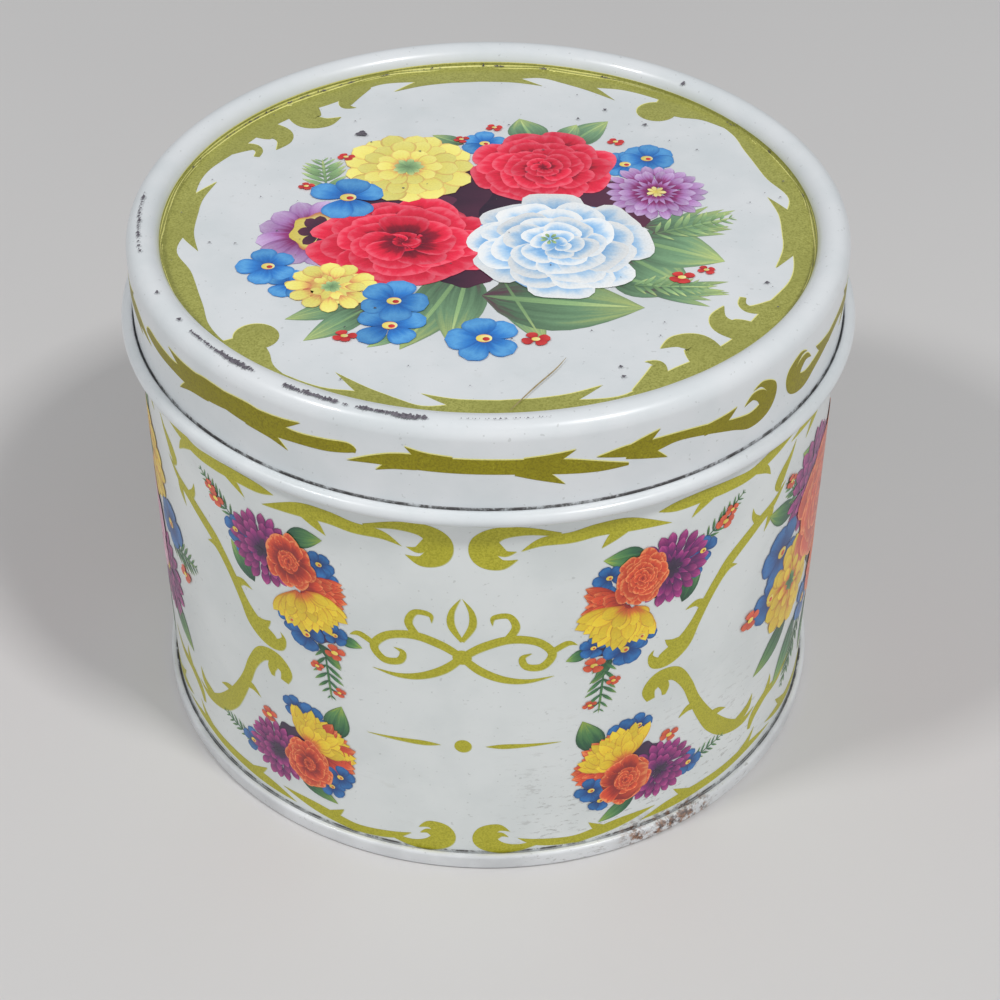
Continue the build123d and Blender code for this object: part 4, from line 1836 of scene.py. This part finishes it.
@dataclass
class LidWear:
    """Chips along the lid's raised rim, pinholes along the fold, specks and a scratch."""

    lid: LidShell
    chip_lift: float = 0.33  # over the print
    scratch_lift: float = 0.32

    def build(self) -> None:
        """Lays every worn spot as a thin dark patch."""
        dice = random.Random(7)
        chip = Lump("bare_steel", (126, 121, 129), (84, 79, 88), 0.4, 0.55, 0.2)
        ink = Ink("lid_chips", PanelTop(self.lid), chip, Ride("lid", "lid_enamel"))
        self.chips(ink, dice)
        self.pinholes(ink, dice)
        for x, y, size in (
            (-20.8, 27.1, 1.5), (14.9, 32, 0.6), (19.5, 35, 0.6), (25.9, 30, 0.6),
            (41.3, -16.5, 0.5), (18.6, -37.5, 0.5), (18.9, -39.8, 0.5), (34, 40.8, 0.6),
        ):
            self.spot(ink, dice, (x, y), size, 5)
        for _ in range(60):
            radius = 49 * math.sqrt(dice.random())
            self.spot(ink, dice, polar(dice.uniform(0, 360), radius), dice.uniform(0.12, 0.3), 0)
        ink.finish_piece()
        self.scratch()

    def chips(self, ink: Ink, dice: random.Random) -> None:
        """Lays the chips on the rim's crest, in runs.

        Args:
            ink: What they are laid with.
            dice: Where their chances come from.
        """
        lid = self.lid
        crest = lid.panel_r - lid.fold
        crest += (lid.fold - SHEET / 2) * math.pi / 2
        crest += lid.rim_centre[1] - lid.panel_z - lid.fold
        crest += (lid.rim_r + SHEET / 2) * math.pi / 2
        for start, end, shift, size, count in (
            (176, 190, 0.3, 0.5, 30), (191, 194, 0.4, 0.45, 5), (206, 206.6, 0.4, 0.5, 2),
            (214.3, 215, 0.5, 0.5, 3), (218.4, 224.5, 0.6, 0.42, 20), (224.8, 232.8, 0.6, 0.72, 32),
            (238.5, 247.8, 0.7, 0.6, 40), (248.6, 249.6, 0.8, 0.35, 4), (250.5, 256, 0.8, 0.5, 24),
            (256, 261, 0.9, 0.72, 24), (266, 279, 0.6, 0.22, 24),
        ):
            for index in range(count):
                degrees = start + (end - start) * (index + dice.random()) / count
                radius = crest + shift + dice.gauss(0, size * 0.12)
                self.spot(ink, dice, polar(degrees, radius), size * dice.uniform(0.4, 1.0), degrees + 90)

    def pinholes(self, ink: Ink, dice: random.Random) -> None:
        """Lays the pinholes along the fold, in small groups.

        Args:
            ink: What they are laid with.
            dice: Where their chances come from.
        """
        fold = self.lid.panel_r - 0.1
        for degrees in (
            160, 148, 142, 140, 137, 135, 132, 129, 128, 124, 119, 118, 111, 101, 91, 88, 79, 66, 63,
            37, 24, 9, 3, -14, -33, -40, -52,
        ):
            for _ in range(dice.randint(2, 6)):
                place = polar(degrees + dice.gauss(0, 0.7), fold + dice.gauss(0, 0.12))
                self.spot(ink, dice, place, dice.uniform(0.22, 0.6), degrees + 90)

    def scratch(self) -> None:
        """Lays the scratch on the panel."""
        line = ((3.0, -47.6, 0.1), (6.4, -42.4, 0.3), (9.4, -38.2, 0.25), (11.0, -35.4, 0.05))

        def shape(u: float, v: float) -> Point:
            """Gives a point of the scratch."""
            x, y, width = along(line, u)
            return x + (v - 0.5) * width, y

        finish = Lump("scratch", (178, 160, 120), (150, 132, 96), 0.8, 0.6)
        ink = Ink("lid_scratch", PanelTop(self.lid), finish, Ride("lid", "lid_enamel"))
        ink.patch((24, 2), shape, self.scratch_lift)
        ink.finish_piece()

    def spot(self, ink: Ink, dice: random.Random, place: Point, size: float, degrees: float) -> None:
        """Lays one ragged spot, drawn out along a direction.

        Args:
            ink: What it is laid with.
            dice: Where its chances come from.
            place: Its middle on the design.
            size: About how wide it is.
            degrees: The direction.
        """
        phase, long = dice.uniform(0, 6), dice.uniform(0.6, 1.5)
        sine, cosine = math.sin(math.radians(degrees)), math.cos(math.radians(degrees))

        def shape(u: float, v: float) -> Point:
            """Gives a point of the spot."""
            x, y = disc_point(u, v)
            swell = 1 + 0.3 * math.sin(3 * math.atan2(y, x) + phase)
            a, b = x * size / 2 * swell * long, y * size / 2 * swell
            return place[0] + a * cosine - b * sine, place[1] + a * sine + b * cosine

        ink.patch((3, 3), shape, self.chip_lift + dice.uniform(0, 0.01))


# --- inside ---


@dataclass
class SiftingDrum:
    """The paperboard collar, the pierced membrane, the powder below, and the seams' fillings."""

    powder_r: float = 53.1

    def build(self) -> None:
        """Dresses the CAD pieces and builds the powder."""
        finishes: dict[str, Finish] = {
            "side_seam_solder": Lump("solder", (176, 176, 178), (128, 128, 132), 1.2, 0.36, 0.9, 0.04),
            "bottom_seam_compound": Lump("seam_compound", (120, 108, 88), (92, 82, 66), 0.6, 0.7),
            "drum_ring": Fibrous("paperboard", (186, 164, 128), (146, 122, 90), 0.7, (0.5, 0.5, 2.5), 0.05),
            "drum_membrane": Fibrous(
                "membrane_paper", (232, 226, 208), (206, 196, 172), 0.5, (1, 1, 1), 0.03, 0.7
            ),
        }
        for node, finish in finishes.items():
            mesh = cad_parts[node].data
            mesh.materials.clear()
            mesh.materials.append(finish.build())
            LOG.info("%s: dressed", node)
        self.powder()

    def powder(self) -> None:
        """Builds the powder, a low heap with a lumpy top."""
        low, high = (corner.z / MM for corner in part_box("powder_fill"))
        edge = high - 2.0
        steps = 24
        profile = [(0.0, low), (self.powder_r * 0.6, low), (self.powder_r, low), (self.powder_r, (low + edge) / 2)]
        for step in range(steps + 1):
            crown = 1.6 * math.sin(math.pi / 2 * step / steps)
            profile.append((self.powder_r * (1 - step / steps), edge + crown))
        bm = spun(profile, Vector((0, 0, -1)), 144)
        for vert in bm.verts:
            if vert.co.z > (edge - 0.01) * MM and vert.co.xy.length < (self.powder_r - 0.5) * MM:
                vert.co.z += 0.35 * MM * noise.fractal(vert.co * 300, 0.8, 2.0, 4)
        powder = piece_from(bm, "powder", Lump("powder", (244, 242, 238), (226, 222, 216), 0.5, 0.95, 0, 0.15))
        Ride("tin", "powder", ("powder_fill",)).settle(powder)


@dataclass
class Puff:
    """The powder puff: plush face, wadding, satin back, corded edge, ribbon strap and stitches."""

    body: str = "puff"
    radius: float = 36.5
    back_r: float = 31.4
    piping_r: float = 0.9
    ribbon_width: float = 16.0
    ribbon_end: float = 26.0
    tab: float = 5.4
    stitch_x: float = 28.7
    stitch_length: float = 5.0
    gathers: int = 44
    locks: int = 5200

    def __post_init__(self) -> None:
        """Reads the puff's heights from the CAD parts."""
        self.low, self.dome = (corner.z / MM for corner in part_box("puff_pile"))
        self.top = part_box("puff_backing")[1].z / MM
        self.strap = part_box("puff_ribbon")[1].z / MM

    def build(self) -> None:
        """Builds the puff's pieces."""
        self.pile()
        self.wadding()
        self.backing()
        self.piping()
        self.ribbon()
        self.stitches()

    def pile(self) -> None:
        """Builds the plush face: a soft rounded disc covered with short locks of fibre."""
        dice = random.Random(11)
        round_r = (self.dome - self.low) / 2 - 0.7
        middle = (self.low + self.dome) / 2
        flat = self.radius - round_r - 1.6
        profile = [(0.0, self.low + 0.8), (flat / 2, self.low + 0.8), (flat, self.low + 0.8)]
        profile += arc((flat, middle), round_r, -80, 80, 14)
        profile += [(flat * 0.9, self.dome - 0.2), (0.0, self.dome - 0.2)]
        bm = spun(profile, Vector((0, 0, -1)), 120)
        for vert in bm.verts:
            if vert.co.z < (self.dome - 0.4) * MM:
                vert.co += vert.co.normalized() * 0.25 * MM * noise.noise(vert.co * 420)
        for index in range(self.locks):
            on_side = index / self.locks < 0.55
            lean = math.radians(dice.uniform(-72, 78) if on_side else -90 + dice.uniform(-50, 50))
            spread = dice.uniform(0, 2 * math.pi)
            out = Vector((math.cos(lean), 0, math.sin(lean)))
            if on_side:
                root = Vector((flat, 0, middle)) + out * (round_r - 0.3)
            else:
                root = Vector((flat * math.sqrt(dice.random()), 0, self.low + 1.0))
            out = (out + Vector((0, dice.uniform(-0.5, 0.5), dice.uniform(-0.2, 0.2)))).normalized()
            length = dice.uniform(1.2, 2.3)
            if (root + out * length).z < self.low:
                out.z *= 0.2
                out.normalize()
            place = Matrix.Rotation(spread, 4, "Z") @ Matrix.Translation((root + out * length / 2) * MM)
            place = place @ out.to_track_quat("Z", "Y").to_matrix().to_4x4()
            bmesh.ops.create_cone(
                bm, segments=3, radius1=0.42 * MM, radius2=0.1 * MM, depth=length * MM, matrix=place
            )
        floor = self.low * MM
        for vert in bm.verts:
            vert.co.z = max(vert.co.z, floor)
        plush = Fibrous("plush", (240, 196, 202), (214, 150, 160), 0.6, (1, 1, 1), 0.3, 0.95, 0.8)
        piece = piece_from(bm, "puff_plush", plush)
        Ride(self.body, "plush", ("puff_pile",)).settle(piece)

    @staticmethod
    def crown(share: float) -> float:
        """Gives the height of the back above its edge, 0 to 1, at a share of its radius."""
        return math.cos(math.pi / 2 * share) ** 0.8 if share < 1 else 0.0

    def wadding(self) -> None:
        """Builds the soft core under the back."""
        rise = self.top - self.dome - 0.9
        radius = self.back_r - 0.8
        steps = 12
        profile = [(0.0, self.dome), (radius * 0.6, self.dome), (radius, self.dome)]
        for step in range(1, steps + 1):
            share = 1 - step / steps
            profile.append((radius * share, self.dome + rise * self.crown(share)))
        bm = spun(profile, Vector((0, 0, -1)), 96)
        for vert in bm.verts:
            if vert.co.z > (self.dome + 0.5) * MM:
                vert.co.z -= 0.2 * MM * abs(noise.noise(vert.co * 250))
        finish = Fibrous("wadding", (238, 234, 226), (214, 208, 198), 1.4, depth=0.3)
        piece = piece_from(bm, "puff_wadding", finish)
        Ride(self.body, "wadding", ("puff_filling",)).settle(piece)

    def backing(self) -> None:
        """Builds the satin back: a dome gathered into the corded edge and pulled in under the strap."""
        rise = self.top - self.dome
        steps = 22
        profile = [
            (self.back_r * step / steps, self.dome + 0.1 + (rise - 0.3) * self.crown(step / steps))
            for step in range(steps + 1)
        ]
        bm = spun(profile, Vector((0, 0, 1)), 264)
        for vert in bm.verts:
            radius = vert.co.xy.length / MM
            angle = math.atan2(vert.co.y, vert.co.x)
            share = radius / self.back_r
            fade = max(share - 0.45, 0) / 0.55
            wave = math.sin(self.gathers * angle + 2.5 * math.sin(3 * angle))
            vert.co.z += 0.34 * MM * wave * fade * (1 - share**8)
            for side in (-1, 1):
                pull = math.hypot(vert.co.x / MM - side * self.stitch_x, vert.co.y / MM * 0.5)
                vert.co.z -= 0.35 * MM * math.exp(-((pull / 3.0) ** 2))
        satin = Fibrous("satin", (240, 200, 208), (222, 172, 184), 0.25, (1, 5, 1), 0.02, 0.34, 0.3)
        piece = piece_from(bm, "puff_satin", satin)
        thicken(piece, 0.3)
        Ride(self.body, "satin", ("puff_backing",)).settle(piece)

    def piping(self) -> None:
        """Builds the twisted cord round the edge."""
        middle = self.back_r + self.piping_r
        height = self.dome + self.piping_r
        cord_r = self.piping_r * 0.94
        profile = [*arc((middle, height), cord_r, 0, 360, 16)[:-1], (middle + cord_r, height)]
        bm = spun(profile, Vector((1, 0, 0)), 480)
        for vert in bm.verts:
            angle = math.atan2(vert.co.y, vert.co.x)
            out = Vector((math.cos(angle), math.sin(angle), 0))
            spoke = vert.co - (out * middle + Vector((0, 0, height))) * MM
            around = math.atan2(spoke.z, spoke.dot(out))
            vert.co += spoke.normalized() * 0.09 * MM * (abs(math.sin((around * 2 + angle * 130) / 2)) * 2 - 1.3)
        cord = Fibrous("cord_edge", (232, 186, 196), (206, 150, 164), 0.3, (1, 1, 1), 0.04, 0.5, 0.4)
        piece = piece_from(bm, "puff_cord", cord)
        Ride(self.body, "cord_edge", ("puff_piping",)).settle(piece)

    def ribbon(self) -> None:
        """Builds the strap: a corded ribbon arched over the back, its ends laid flat."""
        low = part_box("puff_ribbon")[0].z / MM + 0.2
        reach = self.ribbon_end + self.tab
        bm = bmesh.new()
        made = bmesh.ops.create_grid(bm, x_segments=96, y_segments=14, size=0.5)["verts"]
        rise = self.strap - low - 0.25
        for vert in made:
            x, y = vert.co.x * 2 * reach, vert.co.y * self.ribbon_width
            share = min(abs(x) / self.ribbon_end, 1)
            height = low + rise * (0.5 + 0.5 * math.cos(math.pi * share)) ** 0.9
            height -= 0.25 * (2 * y / self.ribbon_width) ** 2 * (1 - share)
            vert.co = Vector((x, y, height)) * MM
        bmesh.ops.recalc_face_normals(bm, faces=bm.faces)
        if next(iter(bm.faces)).normal.z < 0:
            bmesh.ops.reverse_faces(bm, faces=bm.faces)
        piece = piece_from(bm, "puff_strap", Ribbed("ribbon", (244, 206, 214), (220, 168, 182)))
        thicken(piece, 0.36)
        Ride(self.body, "ribbon", ("puff_ribbon",)).settle(piece)

    def stitches(self) -> None:
        """Builds the stitches that hold the strap's ends: three strands each."""
        low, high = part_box("puff_stitches")
        height = (low.z + high.z) / 2
        bm = bmesh.new()
        for x, y, strand in product((-1, 1), (-1, 1), (-1, 0, 1)):
            place = Matrix.Translation((x * self.stitch_x * MM + strand * 0.34 * MM, y * 4 * MM, height))
            place = place @ Matrix.Rotation(math.radians(90 + strand * 1.5), 4, "X")
            made = bmesh.ops.create_cone(
                bm, cap_ends=True, segments=10, radius1=0.2 * MM, radius2=0.2 * MM,
                depth=self.stitch_length * MM, matrix=place,
            )["verts"]
            edges = list({edge for vert in made for edge in vert.link_edges if len(edge.link_faces) == 2})
            caps = [edge for edge in edges if any(len(face.verts) > 4 for face in edge.link_faces)]
            bmesh.ops.bevel(bm, geom=caps, offset=0.12 * MM, segments=3, profile=0.5, affect="EDGES", material=-1)
        thread = Fibrous("thread", (238, 220, 218), (206, 178, 180), 0.3, (3, 1, 3), 0.05, 0.6)
        piece = piece_from(bm, "puff_thread", thread)
        Ride(self.body, "thread", ("puff_stitches",)).settle(piece)


# --- studio ---


@dataclass
class Studio:
    """A pale floor, soft lights and the camera."""

    aim: tuple[float, float, float] = (0.0, 0.0, 0.040)
    distance: float = 0.352
    elevation: float = 38.61
    lens: float = 75.6
    shift: Point = (0.0117, -0.0487)
    floor_size: float = 2.5  # half its width, metres
    sky_strength: float = 0.32

    def build(self) -> None:
        """Sets the studio up."""
        bpy.context.scene.view_settings.view_transform = "Standard"
        self.floor()
        self.lamp("soft_right", 50, 57, distance=1.40, size=0.175, power=7.8)
        self.lamp("soft_left", -58, 52, distance=1.40, size=0.175, power=5.3)
        self.lamp("soft_front", 8, 16, distance=1.0, size=0.8, power=1.15)
        self.sky()
        self.camera()

    def floor(self) -> None:
        """Lays the floor."""
        bm = bmesh.new()
        bmesh.ops.create_grid(bm, x_segments=8, y_segments=8, size=self.floor_size)
        nodes = Nodes("studio_floor")
        drift = nodes.noise(nodes.object_place, 160, 2)
        colour = nodes.mix(drift, tint((217, 215, 213)), tint((210, 208, 207)))
        nodes.dress(Base_Color=colour, Roughness=0.75)
        mesh = bpy.data.meshes.new("floor")
        bm.to_mesh(mesh)
        bm.free()
        mesh.materials.append(nodes.material)
        floor = bpy.data.objects.new("floor", mesh)
        bpy.context.scene.collection.objects.link(floor)

    def seat(self, azimuth: float, elevation: float, distance: float) -> Matrix:
        """Gives the place of something that looks at the tin.

        Args:
            azimuth: Degrees from the front, towards +X.
            elevation: Degrees above the floor.
            distance: Metres from the tin.

        Returns:
            Its matrix, with -Z towards the tin.
        """
        flat, up = math.radians(azimuth), math.radians(elevation)
        out = Vector((math.cos(up) * math.sin(flat), -math.cos(up) * math.cos(flat), math.sin(up)))
        place = Vector(self.aim) + out * distance
        return Matrix.Translation(place) @ out.to_track_quat("Z", "Y").to_matrix().to_4x4()

    def lamp(
        self, name: str, azimuth: float, elevation: float, distance: float, size: float, power: float
    ) -> None:
        """Hangs a square soft light.

        Args:
            name: Its name.
            azimuth: Degrees from the front, towards +X.
            elevation: Degrees above the floor.
            distance: Metres from the tin.
            size: Its width, metres.
            power: Its power, watts.
        """
        light = bpy.data.lights.new(name, "AREA")
        light.energy = power
        light.size = size
        lamp = bpy.data.objects.new(name, light)
        lamp.matrix_world = self.seat(azimuth, elevation, distance)
        bpy.context.scene.collection.objects.link(lamp)

    def sky(self) -> None:
        """Fills the room with a soft even light."""
        world = bpy.data.worlds.new("room")
        world.use_nodes = True
        background = world.node_tree.nodes["Background"]
        background.inputs["Color"].default_value = (0.93, 0.96, 1.0, 1)
        background.inputs["Strength"].default_value = self.sky_strength
        bpy.context.scene.world = world

    def camera(self) -> None:
        """Sets the camera."""
        camera = bpy.data.objects.new("camera", bpy.data.cameras.new("camera"))
        camera.data.lens = self.lens
        camera.data.shift_x, camera.data.shift_y = self.shift
        camera.data.clip_start = 0.01
        camera.matrix_world = self.seat(VIEW_TURN, self.elevation, self.distance)
        bpy.context.scene.collection.objects.link(camera)
        bpy.context.scene.camera = camera


def main() -> None:
    """Builds the tin and its studio."""
    logging.basicConfig(level=logging.INFO, format="%(name)s: %(message)s")
    lid = LidShell()
    for part in (
        lid, BodyShell(), BottomEnd(), SiftingDrum(), Puff(), LidPrint(lid), BodyPrint(), LidWear(lid), Studio(),
    ):
        part.build()
        LOG.info("%s done", type(part).__name__)


if __name__ == "__main__":
    main()
